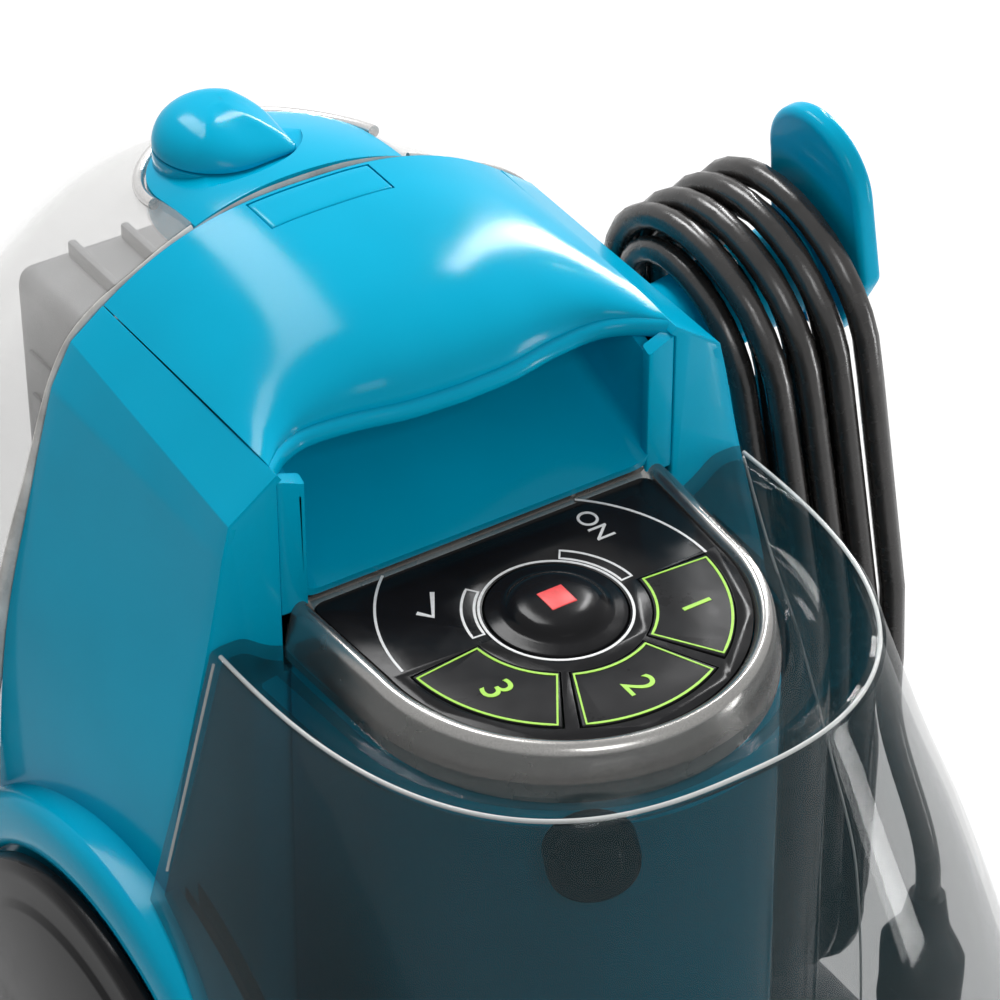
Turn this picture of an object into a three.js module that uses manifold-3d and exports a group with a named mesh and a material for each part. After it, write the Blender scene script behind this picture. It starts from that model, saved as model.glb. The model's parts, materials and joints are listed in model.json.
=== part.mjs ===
// Spot extractor: a hands-free portable carpet-spot cleaner.
// Millimetres, +Z up. The origin is on the floor under the middle of the base, +Y runs to the rear
// (recovery tank), -Y to the front (solution tank) and +X to the side that carries the power cord.
import * as THREE from "three";
import { mergeVertices } from "three/addons/utils/BufferGeometryUtils.js";
import Module from "manifold-3d";

const wasm = await Module();
wasm.setup();

// ---------------------------------------------------------------- driving dimensions
const GAP = 0.3; // clearance between pieces that rest on or fit in each other
const WALL = 3; // moulded housing wall
const TANK_WALL = 2.5; // clear tank wall
const DEG = Math.PI / 180;

// base
const FOOT_HEIGHT = 10;
const FOOT_RADIUS = 11;
const BASE_HALF_WIDTH = 136;
const BASE_HALF_LENGTH = 200;
const BASE_ROUNDNESS = 2.6;
const BASE_DRAFT = 5;
const DECK_THICKNESS = 6;
const DECK_TOP = 56;
const FOOT_X = 92;
const FOOT_Y = 140;

// control panel: its back edge is the reference for everything above the deck
const PANEL_Y = -45;
const PANEL_Z = 280;
const PANEL_TILT = 2.4 * DEG;
const RING_DEPTH = 33.5; // from the panel's back edge to the middle of the stop button
const FACE_RADIUS = 44.5;
const FACE_BACK_HALF = 46.3;
const FACE_BACK = 3.2;
const FACE_THICKNESS = 2.4;
const BEZEL_WIDTH = 5.4;
const BEZEL_HEIGHT = 12;
const STOP_RADIUS = 16.5;
const KEY_INNER = 22;
const KEY_OUTER = 40.4;
const KEY_THICKNESS = 4;
const KEY_SPANS = [[-2, -56], [-62, -116], [-122, -176]];
const KEY_TRAVEL = 1.2;

// housing slice between the two tanks
const HOUSING_INSET = 3; // the housing's front face lies this far in front of the panel's back edge
const HOUSING_DEPTH = 76;
const SEAM_X = 53.7;
const SEAM_RISE = 38.8;
const COVER_CROWN = 19;
const COVER_THICKNESS = 3.5;
const LIP_EXTRA = 1.5;
const WELL_HALF_WIDTH = 47.5;
const WELL_DEPTH = 56;
const WELL_WALL = 2.8;

// pedestal under the panel
const PEDESTAL_RADIUS = 58;
const PEDESTAL_DRAFT = 3;

// latch tab and tank cap
const TAB_HALF_WIDTH = 16.5;
const TAB_LENGTH = 11.5;
const CAP_HALF_WIDTH = 28.6;
const CAP_LENGTH = 45;
const KNOB_RADIUS = 15.6;
const KNOB_HEIGHT = 9;
const KNOB_X = -7.5;
const KNOB_TIP_REACH = 20;
const KNOB_TIP_ANGLE = -44 * DEG;

// tanks
const SOLUTION_HALF_WIDTH = 73.5;
const SOLUTION_FRONT = 105;
const RECOVERY_LENGTH = 166;

// hub on the left side
const HUB_FORWARD = 16.5; // behind the panel's back edge
const HUB_RISE = 74; // its middle over the deck
const HUB_RADIUS = 71.3;
const HUB_RING = 86;
const HUB_FACE_X = 103;
const HUB_RIM_X = 98;
const HUB_THICKNESS = 5;
const HUB_INNER_X = 84;

// power cord and its two hooks
const CORD_DIAMETER = 6.8;
const CORD_LANES = 4;
const CORD_PITCH = 7.6;
const LAYER_STEP = 7.7;
const INNER_TURN = 25;
const LOOP_STEPS = 24;
const BAY_LEAN = 0.16; // the winding's upper half leans out like the housing's side
const POST_RADIUS = 12;
const PADDLE_WIDTH = 36;
const PADDLE_RISE = 52;
const PADDLE_THICKNESS = 6;

// ---------------------------------------------------------------- places worked out from them
const HOUSING_FRONT = PANEL_Y - HOUSING_INSET;
const HOUSING_REAR = HOUSING_FRONT + HOUSING_DEPTH;
const RING_Y = PANEL_Y - RING_DEPTH;
const DECK_RISE = DECK_TOP - PANEL_Z; // deck height measured from the panel

// ---------------------------------------------------------------- geometry helpers
function solid(geometry) {
  const bare = geometry.index ? geometry.toNonIndexed() : geometry.clone();
  for (const name of Object.keys(bare.attributes)) if (name !== "position") bare.deleteAttribute(name);
  const merged = mergeVertices(bare, 1e-4);
  return new wasm.Manifold(new wasm.Mesh({
    numProp: 3,
    vertProperties: new Float32Array(merged.attributes.position.array),
    triVerts: new Uint32Array(merged.index.array),
  }));
}

function geometryOf(manifold) {
  const mesh = manifold.getMesh();
  const geometry = new THREE.BufferGeometry();
  geometry.setAttribute("position", new THREE.BufferAttribute(new Float32Array(mesh.vertProperties), 3));
  geometry.setIndex(Array.from(mesh.triVerts));
  geometry.computeVertexNormals();
  return geometry;
}

const AXES = {
  x: new THREE.Matrix4().set(0, 0, 1, 0, 1, 0, 0, 0, 0, 1, 0, 0, 0, 0, 0, 1), // outline in Y, Z
  y: new THREE.Matrix4().set(1, 0, 0, 0, 0, 0, -1, 0, 0, 1, 0, 0, 0, 0, 0, 1), // outline in X, Z
  z: new THREE.Matrix4(), // outline in X, Y
};

// A straight prism of an outline, from one place to another along an axis.
function prism(axis, outline, from, to) {
  const shape = new THREE.Shape(outline.map(([u, v]) => new THREE.Vector2(u, v)));
  const geometry = new THREE.ExtrudeGeometry(shape, { depth: to - from, bevelEnabled: false });
  geometry.translate(0, 0, axis === "y" ? -to : from);
  return solid(geometry.applyMatrix4(AXES[axis]));
}

function box(x0, x1, y0, y1, z0, z1) {
  return prism("z", [[x0, y0], [x1, y0], [x1, y1], [x0, y1]], z0, z1);
}

function arc(cx, cy, radius, from, to, steps) {
  const points = [];
  for (let i = 0; i <= steps; i += 1) {
    const angle = (from + ((to - from) * i) / steps) * DEG;
    points.push([cx + radius * Math.cos(angle), cy + radius * Math.sin(angle)]);
  }
  return points;
}

function circle(cx, cy, radius, sides = 32) {
  return arc(cx, cy, radius, 0, 360, sides).slice(0, -1);
}

function rod(axis, cu, cv, radius, from, to, sides = 32) {
  return prism(axis, circle(cu, cv, radius, sides), from, to);
}

// A turned solid: profile points are [radius, height], turned about the given axis through a point.
function turned(axis, profile, x, y, z, sides = 40) {
  const geometry = new THREE.LatheGeometry(profile.map(([r, h]) => new THREE.Vector2(r, h)), sides);
  if (axis === "z") geometry.rotateX(Math.PI / 2);
  if (axis === "x") geometry.rotateZ(-Math.PI / 2);
  geometry.translate(x, y, z);
  const made = solid(geometry);
  return made.volume() < 0 ? solid(flipped(geometry)) : made;
}

function flipped(geometry) {
  const turnedInside = geometry.index ? geometry.toNonIndexed() : geometry.clone();
  const position = turnedInside.attributes.position;
  for (let i = 0; i < position.count; i += 3) {
    const swap = [position.getX(i), position.getY(i), position.getZ(i)];
    position.setXYZ(i, position.getX(i + 1), position.getY(i + 1), position.getZ(i + 1));
    position.setXYZ(i + 1, ...swap);
  }
  return turnedInside;
}

// A skin through rings of 3-D points with flat ends; every ring has the same number of points.
function loft(rings) {
  const count = rings[0].length;
  const faces = [];
  for (let i = 0; i + 1 < rings.length; i += 1) {
    for (let j = 0; j < count; j += 1) {
      const k = (j + 1) % count;
      const [a, b, c, d] = [rings[i][j], rings[i][k], rings[i + 1][k], rings[i + 1][j]];
      faces.push(a, b, c, a, c, d);
    }
  }
  const last = rings[rings.length - 1];
  faces.push(...flatEnd(rings[0], false), ...flatEnd(last, true));
  return closedFrom(faces);
}

// Triangles that fill a ring, running with its order or against it.
function flatEnd(ring, withRing) {
  const span = (axis) => Math.max(...ring.map((p) => p[axis])) - Math.min(...ring.map((p) => p[axis]));
  const [u, v] = [0, 1, 2].sort((p, q) => span(q) - span(p)).slice(0, 2).sort();
  const flat = ring.map((p) => new THREE.Vector2(p[u], p[v]));
  const triangles = THREE.ShapeUtils.triangulateShape(flat, []);
  const area = triangles.reduce((sum, face) => sum + THREE.ShapeUtils.area(face.map((index) => flat[index])), 0);
  const runsWith = Math.sign(area) === Math.sign(THREE.ShapeUtils.area(flat));
  return triangles.flatMap(([a, b, c]) => (runsWith === withRing ? [a, b, c] : [a, c, b]).map((index) => ring[index]));
}

function closedFrom(faces) {
  const geometry = new THREE.BufferGeometry();
  geometry.setAttribute("position", new THREE.BufferAttribute(new Float32Array(faces.flat()), 3));
  const made = solid(geometry);
  return made.volume() < 0 ? solid(flipped(geometry)) : made;
}

// A slab between two surfaces given as functions of u and v in 0..1.
function slab(columns, rows, upper, lower) {
  const faces = [];
  const quad = (a, b, c, d) => faces.push(a, b, c, a, c, d);
  for (let i = 0; i < columns; i += 1) {
    for (let j = 0; j < rows; j += 1) {
      const [u0, u1, v0, v1] = [i / columns, (i + 1) / columns, j / rows, (j + 1) / rows];
      quad(upper(u0, v0), upper(u1, v0), upper(u1, v1), upper(u0, v1));
      quad(lower(u0, v0), lower(u0, v1), lower(u1, v1), lower(u1, v0));
      if (j === 0) quad(lower(u0, 0), lower(u1, 0), upper(u1, 0), upper(u0, 0));
      if (j === rows - 1) quad(upper(u0, 1), upper(u1, 1), lower(u1, 1), lower(u0, 1));
      if (i === 0) quad(upper(0, v0), upper(0, v1), lower(0, v1), lower(0, v0));
      if (i === columns - 1) quad(lower(1, v0), lower(1, v1), upper(1, v1), upper(1, v0));
    }
  }
  return closedFrom(faces);
}

// An outline moved inwards by a wall thickness, point by point.
function inward(outline, wall) {
  return outline.map(([x, y], i) => {
    const [px, py] = outline[Math.max(i - 1, 0)];
    const [nx, ny] = outline[Math.min(i + 1, outline.length - 1)];
    const length = Math.hypot(nx - px, ny - py);
    return [x + ((ny - py) / length) * wall, y - ((nx - px) / length) * wall];
  });
}

const machine = new THREE.Group();

function material(color, roughness, metalness = 0, opacity = 1) {
  return new THREE.MeshStandardMaterial({ color, roughness, metalness, opacity, transparent: opacity < 1 });
}

const TEAL = () => material(0x00a6cc, 0.28);
const BLACK = () => material(0x16171a, 0.35);
const CHARCOAL = () => material(0x33363a, 0.5);
const SILVER = () => material(0xa9a6a1, 0.22, 0.8);
const SMOKE = () => material(0x8d8985, 0.1, 0, 0.4);
const PLUG_BLACK = () => material(0x232324, 0.45);
const RUBBER = () => material(0x2b2a29, 0.6);
const STEEL = () => material(0xb9bcc0, 0.3, 0.9);
const GREY = () => material(0x7f8387, 0.45);

function add(name, manifold, look, parent = machine) {
  const mesh = new THREE.Mesh(geometryOf(manifold), look);
  mesh.name = name;
  parent.add(mesh);
  return mesh;
}

// ---------------------------------------------------------------- base
function roundOutline(halfWidth, halfLength, roundness, steps = 40) {
  const points = [];
  for (let i = 0; i < steps; i += 1) {
    const angle = (2 * Math.PI * i) / steps;
    const [c, s] = [Math.cos(angle), Math.sin(angle)];
    const power = 2 / roundness;
    points.push([
      halfWidth * Math.sign(c) * Math.abs(c) ** power,
      halfLength * Math.sign(s) * Math.abs(s) ** power,
    ]);
  }
  return points;
}

function baseOutline(shrink) {
  return roundOutline(BASE_HALF_WIDTH - shrink, BASE_HALF_LENGTH - shrink, BASE_ROUNDNESS);
}

function atHeight(outline, z) {
  return outline.map(([x, y]) => [x, y, z]);
}

const BRUSH_OPENING = 72;
const TURNTABLE_RADIUS = 66;
const DRIVE_SHAFT = 6;
const NOZZLE_HALF_WIDTH = 58;
const NOZZLE_Y = -166;
const SPRAY_X = 38;
const PORT_Y = -118;
const PORT_Z = 33;
const PORT_RADIUS = 17;
const PORT_BORE = 13;

function nozzleSlot(top) {
  const half = NOZZLE_HALF_WIDTH - 6;
  return box(-half, half, NOZZLE_Y - 4, NOZZLE_Y + 4, 0, top);
}

function basePan() {
  const top = DECK_TOP - DECK_THICKNESS - GAP;
  const outer = loft([
    atHeight(baseOutline(BASE_DRAFT + 4), FOOT_HEIGHT),
    atHeight(baseOutline(BASE_DRAFT), FOOT_HEIGHT + 8),
    atHeight(baseOutline(0), top),
  ]);
  const inner = loft([
    atHeight(baseOutline(BASE_DRAFT + 4 + WALL), FOOT_HEIGHT + WALL),
    atHeight(baseOutline(BASE_DRAFT + WALL), FOOT_HEIGHT + 8 + WALL),
    atHeight(baseOutline(WALL), top + 1),
  ]);
  const opening = rod("z", 0, RING_Y, BRUSH_OPENING, 0, FOOT_HEIGHT + WALL + 1, 32);
  const slot = nozzleSlot(FOOT_HEIGHT + WALL + 1);
  const port = rod("x", PORT_Y, PORT_Z, PORT_RADIUS + GAP, -BASE_HALF_WIDTH, -90, 20);
  return outer.subtract(inner).subtract(opening).subtract(slot).subtract(port);
}

function baseDeck() {
  const plate = prism("z", baseOutline(0), DECK_TOP - DECK_THICKNESS, DECK_TOP);
  const shaftHole = rod("z", 0, RING_Y, DRIVE_SHAFT + GAP, 0, DECK_TOP + 1, 24);
  const ductHole = rod("z", -50, -20, 12, 0, DECK_TOP + 1, 24);
  const valveHole = rod("z", 0, VALVE_Y, VALVE_RADIUS + 4, 0, DECK_TOP + 1, 24);
  return plate.subtract(shaftHole).subtract(ductHole).subtract(valveHole);
}

// ---------------------------------------------------------------- housing outlines
// Right-hand side of the housing from the cover's seam down to the deck: [x, height over the panel].
const SIDE_FRONT = [
  [SEAM_X, SEAM_RISE], [66.4, 29.7], [68.4, 21.5], [72.9, 0], [82.2, -39], [90, -84], [92, -120], [92, DECK_RISE + GAP],
];
const SIDE_REAR = [
  [SEAM_X + 1.4, SEAM_RISE + 3.5], [64, 35.6], [69.8, 25], [76.8, 0], [86.8, -39], [92, -84], [93, -120], [93, DECK_RISE + GAP],
];

function sideRing(outer, y, wall) {
  const inner = inward(outer, wall).reverse();
  inner[0][1] = outer[outer.length - 1][1];
  inner[inner.length - 1] = [outer[0][0], outer[0][1] - wall * 1.25];
  return [...outer, ...inner].map(([x, z]) => [x, y, PANEL_Z + z]);
}

function mirrored(points) {
  return points.map(([x, ...rest]) => [-x, ...rest]).reverse();
}

function sideAt(share) {
  return SIDE_FRONT.map(([x, z], i) => [x + (SIDE_REAR[i][0] - x) * share, z + (SIDE_REAR[i][1] - z) * share]);
}

// The side shell with the web that closes it towards the front tank.
function sidePanel() {
  const shell = loft([sideRing(SIDE_FRONT, HOUSING_FRONT, WALL), sideRing(SIDE_REAR, HOUSING_REAR, WALL)]);
  const bottom = DECK_RISE + GAP;
  const webOutline = [
    [SEAM_X, SEAM_RISE - 0.6], ...sideAt(0).slice(1).map(([x, z]) => [x - 0.4, z - 0.2]),
    [PEDESTAL_WEB_X, bottom - 0.2], [PEDESTAL_WEB_X, -16], [SEAM_X, -16],
  ].map(([x, z]) => [x, PANEL_Z + z]);
  const web = prism("y", webOutline, HOUSING_FRONT + 0.01, HOUSING_FRONT + WALL);
  const floor = box(0, 200, -200, 200, 0, DECK_TOP + GAP);
  return shell.add(web).subtract(floor);
}

const PEDESTAL_WEB_X = 40;

// ---------------------------------------------------------------- top cover with the carrying grip
const LIP_LINE = [[0, 3.5], [14, 4.4], [28, 7], [40, 7.2], [47, 4.2], [51, 0.8], [54, -2.2]];

function lipY(x) {
  const curve = new THREE.CatmullRomCurve3(LIP_LINE.map(([u, v]) => new THREE.Vector3(u, v, 0)));
  const at = Math.min(Math.abs(x), LIP_LINE[LIP_LINE.length - 1][0]);
  let [low, high] = [0, 1];
  for (let i = 0; i < 18; i += 1) {
    const middle = (low + high) / 2;
    if (curve.getPoint(middle).x < at) low = middle;
    else high = middle;
  }
  return curve.getPoint(low).y;
}

function coverPoint(u, v, drop) {
  const across = 2 * u - 1;
  const halfWidth = SEAM_X - GAP + 1.4 * v;
  const x = across * halfWidth;
  const front = PANEL_Y + lipY(x);
  const y = front + (HOUSING_REAR - front) * v;
  const edge = SEAM_RISE + 3.5 * v;
  const crown = COVER_CROWN * (1 - Math.max(1 - v, 0) ** 1.8) - 3.5 * v - 0.8 * (1 - v);
  const z = PANEL_Z + edge + crown * (1 - Math.abs(across) ** 2.6);
  return [x, y, z - drop];
}

const coverUnder = (v) => COVER_THICKNESS + LIP_EXTRA * (1 - v) ** 4;

function coverSheet() {
  return slab(14, 8, (u, v) => coverPoint(u, v, 0), (u, v) => coverPoint(u, v, coverUnder(v)));
}

// Everything above the cover's underside, used to trim what reaches up to it.
function aboveCover() {
  const skirt = (u, v) => {
    const [across, along] = [-0.01 + 1.02 * u, -0.14 + 1.16 * v];
    return coverPoint(across, along, coverUnder(along) + GAP);
  };
  const sky = (u, v) => {
    const [x, y] = skirt(u, v);
    return [x, y, PANEL_Z + 90];
  };
  return slab(14, 8, sky, skirt);
}

const TAB_REAR = HOUSING_REAR - 1.2;
const TAB_FRONT = TAB_REAR - TAB_LENGTH;

function tabRegion(grow) {
  const half = TAB_HALF_WIDTH + grow;
  return box(-half, half, TAB_FRONT - grow, TAB_REAR + grow, PANEL_Z + 30, PANEL_Z + 90);
}

function handleWell() {
  const [x0, x1] = [WELL_HALF_WIDTH, WELL_HALF_WIDTH + WELL_WALL];
  const front = PANEL_Y - 2.7;
  const back = PANEL_Y + WELL_DEPTH;
  const slope = (back - front) * 0.36;
  const rise = PANEL_Z + 2.1;
  const top = PANEL_Z + 60;
  const block = prism("x", [[front, rise], [back, rise + slope], [back, top], [front, top]], -x1, x1);
  const rear = back - WELL_WALL;
  const hollow = prism("x", [
    [front - 5, rise + WELL_WALL - 1.8], [rear, rise + WELL_WALL + slope], [rear, top + 5], [front - 5, top + 5],
  ], -x0, x0);
  const jamb = (side) => {
    const [outside, head] = [SEAM_X - GAP, PANEL_Z + SEAM_RISE - 5.6];
    const outline = [[x0, rise], [outside, rise], [outside, head], [x0, head]];
    return prism("y", side < 0 ? mirrored(outline) : outline, front, front + 3);
  };
  const liner = block.subtract(hollow).add(jamb(1)).add(jamb(-1));
  return liner.subtract(aboveCover()).subtract(box(-80, 80, -80, 80, PANEL_Z + SEAM_RISE + 12, PANEL_Z + 90));
}

// ---------------------------------------------------------------- pedestal, bezel, face and keys
// The D outline of the panel: a half circle to the front and sides that run back, nearly straight.
function dOutline(grow, back, corner, centre) {
  const radius = FACE_RADIUS + grow;
  const half = FACE_BACK_HALF + grow;
  return [
    ...arc(0, centre, radius, 180, 360, 22),
    ...arc(half - corner, back - corner, corner, 0, 90, 4),
    ...arc(-half + corner, back - corner, corner, 90, 180, 4),
  ];
}

function pedestal() {
  const grow = PEDESTAL_RADIUS - FACE_RADIUS;
  const back = HOUSING_FRONT - GAP;
  const outlineAt = (z, extra) => atHeight(dOutline(grow + extra, back, 2, RING_Y), z);
  const tiltedAt = (drop, extra) => dOutline(grow + extra, back, 2, RING_Y).map(([x, y]) => [
    x, y, PANEL_Z - drop + (y - PANEL_Y) * Math.tan(PANEL_TILT),
  ]);
  const seat = BEZEL_HEIGHT + GAP;
  const top = PANEL_Z - BEZEL_HEIGHT - 5;
  const bottom = DECK_TOP + GAP;
  const outer = loft([
    outlineAt(bottom, PEDESTAL_DRAFT), outlineAt(top - 20, 0.6), tiltedAt(seat + 3, 0), tiltedAt(seat, -2),
  ]);
  const inner = loft([
    outlineAt(bottom - 1, PEDESTAL_DRAFT - WALL), outlineAt(top - 20, 0.6 - WALL), tiltedAt(seat + WALL, -WALL - 1),
  ]);
  const backOpening = box(
    -PEDESTAL_WEB_X, PEDESTAL_WEB_X, HOUSING_FRONT - 20, HOUSING_FRONT, bottom + 20, top - WALL - 12,
  );
  const front = RING_Y - PEDESTAL_RADIUS;
  const boss = swung(rod("y", 0, BOSS_Z, BOSS_RADIUS, front - 4, front + 12, 18));
  return outer.subtract(inner).subtract(backOpening).subtract(boss);
}

const BOSS_SWING = -25.5 * DEG;
const BOSS_Z = PANEL_Z - 28;
const BOSS_RADIUS = 11;

// Turned about the pedestal's axis, from straight ahead to where the boss sits.
function swung(manifold) {
  const geometry = geometryOf(manifold).translate(0, -RING_Y, 0);
  return solid(geometry.rotateZ(BOSS_SWING).translate(0, RING_Y, 0));
}

// A dark round level-sensor boss that shows through the clear tank in the photographed view.
function sensorBoss() {
  const front = RING_Y - PEDESTAL_RADIUS + 0.6;
  return swung(turned("y", [
    [0, 2], [5, 2], [6, 0], [BOSS_RADIUS - 2, 0], [BOSS_RADIUS - GAP, 1.6], [BOSS_RADIUS - GAP, 9], [0, 9],
  ], 0, front, BOSS_Z, 18));
}

function bezel() {
  const back = 0;
  const ringAt = (grow, z) => atHeight(dOutline(grow, back, 4, -RING_DEPTH), z);
  const outer = loft([
    ringAt(BEZEL_WIDTH + 1.6, -BEZEL_HEIGHT), ringAt(BEZEL_WIDTH + 1.6, -BEZEL_HEIGHT + 3),
    ringAt(BEZEL_WIDTH + 0.2, -3), ringAt(BEZEL_WIDTH - 0.8, 0.6), ringAt(BEZEL_WIDTH - 2.4, 1.8),
    ringAt(1.4, 1.8), ringAt(0.6, 0.8),
  ]);
  const inner = prism("z", dOutline(0.3, -FACE_BACK + 0.3, 3, -RING_DEPTH), -BEZEL_HEIGHT - 1, 4);
  const backTrim = box(-60, 60, -0.2, 10, -BEZEL_HEIGHT - 1, 4);
  return outer.subtract(inner).subtract(backTrim);
}

function sector(inner, outer, from, to, steps = 11) {
  return [
    ...arc(0, -RING_DEPTH, outer, from, to, steps),
    ...arc(0, -RING_DEPTH, inner, to, from, steps),
  ];
}

function panelFace() {
  const plate = prism("z", dOutline(0, -FACE_BACK, 3, -RING_DEPTH), -FACE_THICKNESS, 0);
  let made = plate.subtract(rod("z", 0, -RING_DEPTH, STOP_RADIUS + GAP, -9, 9, 30));
  for (const [from, to] of KEY_SPANS) {
    const slack = (GAP / KEY_INNER) / DEG;
    const cut = sector(KEY_INNER - GAP, KEY_OUTER + GAP, to - slack, from + slack);
    made = made.subtract(prism("z", cut, -9, 9));
  }
  return made;
}

function stopButton() {
  const r = STOP_RADIUS;
  return turned("z", [
    [0, -KEY_THICKNESS], [r, -KEY_THICKNESS], [r, 0.3], [r - 1.2, 0.7], [12.4, 0.9], [11, 2.2], [8, 3.2], [0, 3.7],
  ], 0, -RING_DEPTH, 0, 30);
}

function keyCap([from, to]) {
  return prism("z", sector(KEY_INNER, KEY_OUTER, to, from), -KEY_THICKNESS, 0.25);
}

function controlBoard() {
  const top = -KEY_THICKNESS - KEY_TRAVEL - 2.6;
  const board = prism("z", dOutline(-1.2, -FACE_BACK - 1.2, 3, -RING_DEPTH), top - 1.6, top);
  const post = (angle, radius) => {
    const [u, v] = [radius * Math.cos(angle * DEG), -RING_DEPTH + radius * Math.sin(angle * DEG)];
    return rod("z", u, v, 3, top - 0.5, -KEY_THICKNESS - KEY_TRAVEL - 0.4, 10);
  };
  let made = board.add(post(0, 0));
  for (const [from, to] of KEY_SPANS) made = made.add(post((from + to) / 2, (KEY_INNER + KEY_OUTER) / 2));
  for (const x of [-36, 36]) made = made.add(rod("z", x, -12, 3, -BEZEL_HEIGHT, top - 1, 12));
  return made.add(rod("z", 0, -RING_DEPTH - 38, 3, -BEZEL_HEIGHT, top - 1, 12));
}

// ---------------------------------------------------------------- solution tank (front)
const VALVE_Y = -158;
const VALVE_RADIUS = 14;
// Plan half width, front reach behind the panel's back edge, and where the plan is widest.
const SOLUTION_LEVELS = [
  { rise: -1, half: SOLUTION_HALF_WIDTH - 2.2, reach: SOLUTION_FRONT - 2.4, widest: 9 },
  { rise: -3.4, half: SOLUTION_HALF_WIDTH, reach: SOLUTION_FRONT, widest: 9 },
  { rise: -36, half: 83, reach: 118, widest: 14 },
  { rise: -64, half: 92, reach: 127, widest: 26 },
  { rise: DECK_RISE + 114, half: 105, reach: 138, widest: 38 },
  { rise: DECK_RISE + 74, half: 115, reach: 146, widest: 44 },
  { rise: DECK_RISE + 6, half: 121, reach: 150, widest: 46 },
  { rise: DECK_RISE + GAP, half: 119, reach: 148, widest: 46 },
];

function solutionRing(level, inset, rise) {
  const steps = 24;
  const power = 2 / BASE_ROUNDNESS;
  const back = PANEL_Y - 4 - inset;
  const centre = PANEL_Y - level.widest;
  const [half, length] = [level.half - inset, level.reach - level.widest - inset];
  const points = [];
  for (let i = 0; i <= steps; i += 1) {
    const angle = Math.PI + (Math.PI * i) / steps;
    const [c, s] = [Math.cos(angle), Math.sin(angle)];
    points.push([half * Math.sign(c) * Math.abs(c) ** power, centre + length * Math.sign(s) * Math.abs(s) ** power]);
  }
  const pastWidest = Math.max(back - centre, 0) / (length + 40);
  const sideAtBack = half * (1 - pastWidest ** BASE_ROUNDNESS) ** (1 / BASE_ROUNDNESS);
  points.push([(half + sideAtBack) / 2 + 0.2, (centre + back) / 2], [sideAtBack, back]);
  points.push([-sideAtBack, back], [-(half + sideAtBack) / 2 - 0.2, (centre + back) / 2]);
  return atHeight(points, PANEL_Z + rise);
}

function pedestalPocket(grow) {
  const back = PANEL_Y + 5;
  const radius = PEDESTAL_RADIUS + grow;
  const outline = (extra) => dOutline(radius - FACE_RADIUS + extra, back, 2, RING_Y);
  return loft([
    atHeight(outline(PEDESTAL_DRAFT), DECK_TOP - 5),
    atHeight(outline(0.8), PANEL_Z - BEZEL_HEIGHT - 20),
    atHeight(outline(0.4), PANEL_Z - BEZEL_HEIGHT - 1 + grow),
  ]);
}

// The dished top: it falls from the ridge to the bezel's skirt.
function tankDish() {
  const lip = -8.5;
  const profile = [[0, lip], [55, lip], [62, lip + 0.8], [69.5, -2], [71.5, 0.4], [110, 0.4], [110, 20], [0, 20]];
  return turned("z", profile, 0, RING_Y, PANEL_Z, 36);
}

// Room for the hub, open downwards so that the tank lifts straight off.
function hubNotch(grow) {
  const [y, z] = [HUB_Y, HUB_Z];
  const reach = HUB_RING + grow;
  const inner = grow - HUB_INNER_X;
  return rod("x", y, z, reach, -160, inner, 36).add(box(-160, inner, y - reach, y + reach, 0, z));
}

function solutionTank() {
  const outer = loft(SOLUTION_LEVELS.map((level) => solutionRing(level, 0, level.rise)));
  const cavityLevels = SOLUTION_LEVELS.slice(2, -1);
  const roof = { ...SOLUTION_LEVELS[1], half: SOLUTION_HALF_WIDTH + 1, reach: SOLUTION_FRONT + 2 };
  const cavity = loft([
    solutionRing(roof, TANK_WALL, -12.5),
    ...cavityLevels.slice(0, -1).map((level) => solutionRing(level, TANK_WALL, level.rise)),
    solutionRing(cavityLevels[cavityLevels.length - 1], TANK_WALL, DECK_RISE + GAP + TANK_WALL),
  ]).subtract(pedestalPocket(1.4 + TANK_WALL)).subtract(hubNotch(1.2 + TANK_WALL));
  const skirtHole = prism("z", dOutline(BEZEL_WIDTH + 2.8, PANEL_Y + 5, 4, RING_Y), PANEL_Z - 40, PANEL_Z + 10);
  const valveHole = rod("z", 0, VALVE_Y, VALVE_RADIUS, 0, DECK_TOP + 20, 28);
  return outer.subtract(pedestalPocket(1.4)).subtract(tankDish()).subtract(skirtHole)
    .subtract(hubNotch(1.2)).subtract(cavity).subtract(valveHole);
}

function tankValve() {
  const low = DECK_TOP - DECK_THICKNESS - 12;
  return turned("z", [
    [0, low], [5, low], [5, DECK_TOP - 6], [VALVE_RADIUS - GAP - 3, DECK_TOP - 4], [VALVE_RADIUS - GAP, DECK_TOP + 0.4],
    [VALVE_RADIUS - GAP, DECK_TOP + 9], [8, DECK_TOP + 12], [0, DECK_TOP + 12],
  ], 0, VALVE_Y, 0, 20);
}

// ---------------------------------------------------------------- recovery tank (rear dome)
const RECOVERY_Y = HOUSING_REAR + 3.6;
const RECOVERY_FLOOR_HALF = 118;
const RECOVERY_ARCH = [ // where it meets the housing: [x, height over the panel]
  [0, 58.5], [12, 58], [24, 55.6], [36, 51.2], [46, 46.2], [55.5, 41.4], [63, 35.2], [68, 27], [71.5, 18], [77, 1],
  [84, -19], [92, -46], [100, -84], [108, DECK_RISE + 94], [115, DECK_RISE + 44], [RECOVERY_FLOOR_HALF, DECK_RISE + 1],
];
const RECOVERY_SHOULDERS = [ // further back its shoulders fall away and its flanks swell
  [0, 57.5], [12, 56.6], [24, 52.6], [35, 46], [44.5, 38.5], [53.5, 30], [63, 20], [71.5, 10], [79, -1], [88, -18],
  [95.5, -37], [102, -60], [107, -93], [111.5, DECK_RISE + 88], [116, DECK_RISE + 42], [RECOVERY_FLOOR_HALF, DECK_RISE + 1],
];
const SHOULDER_REACH = 50; // how far behind the front the change takes
const RECOVERY_ROUNDNESS = 2.14;

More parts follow.
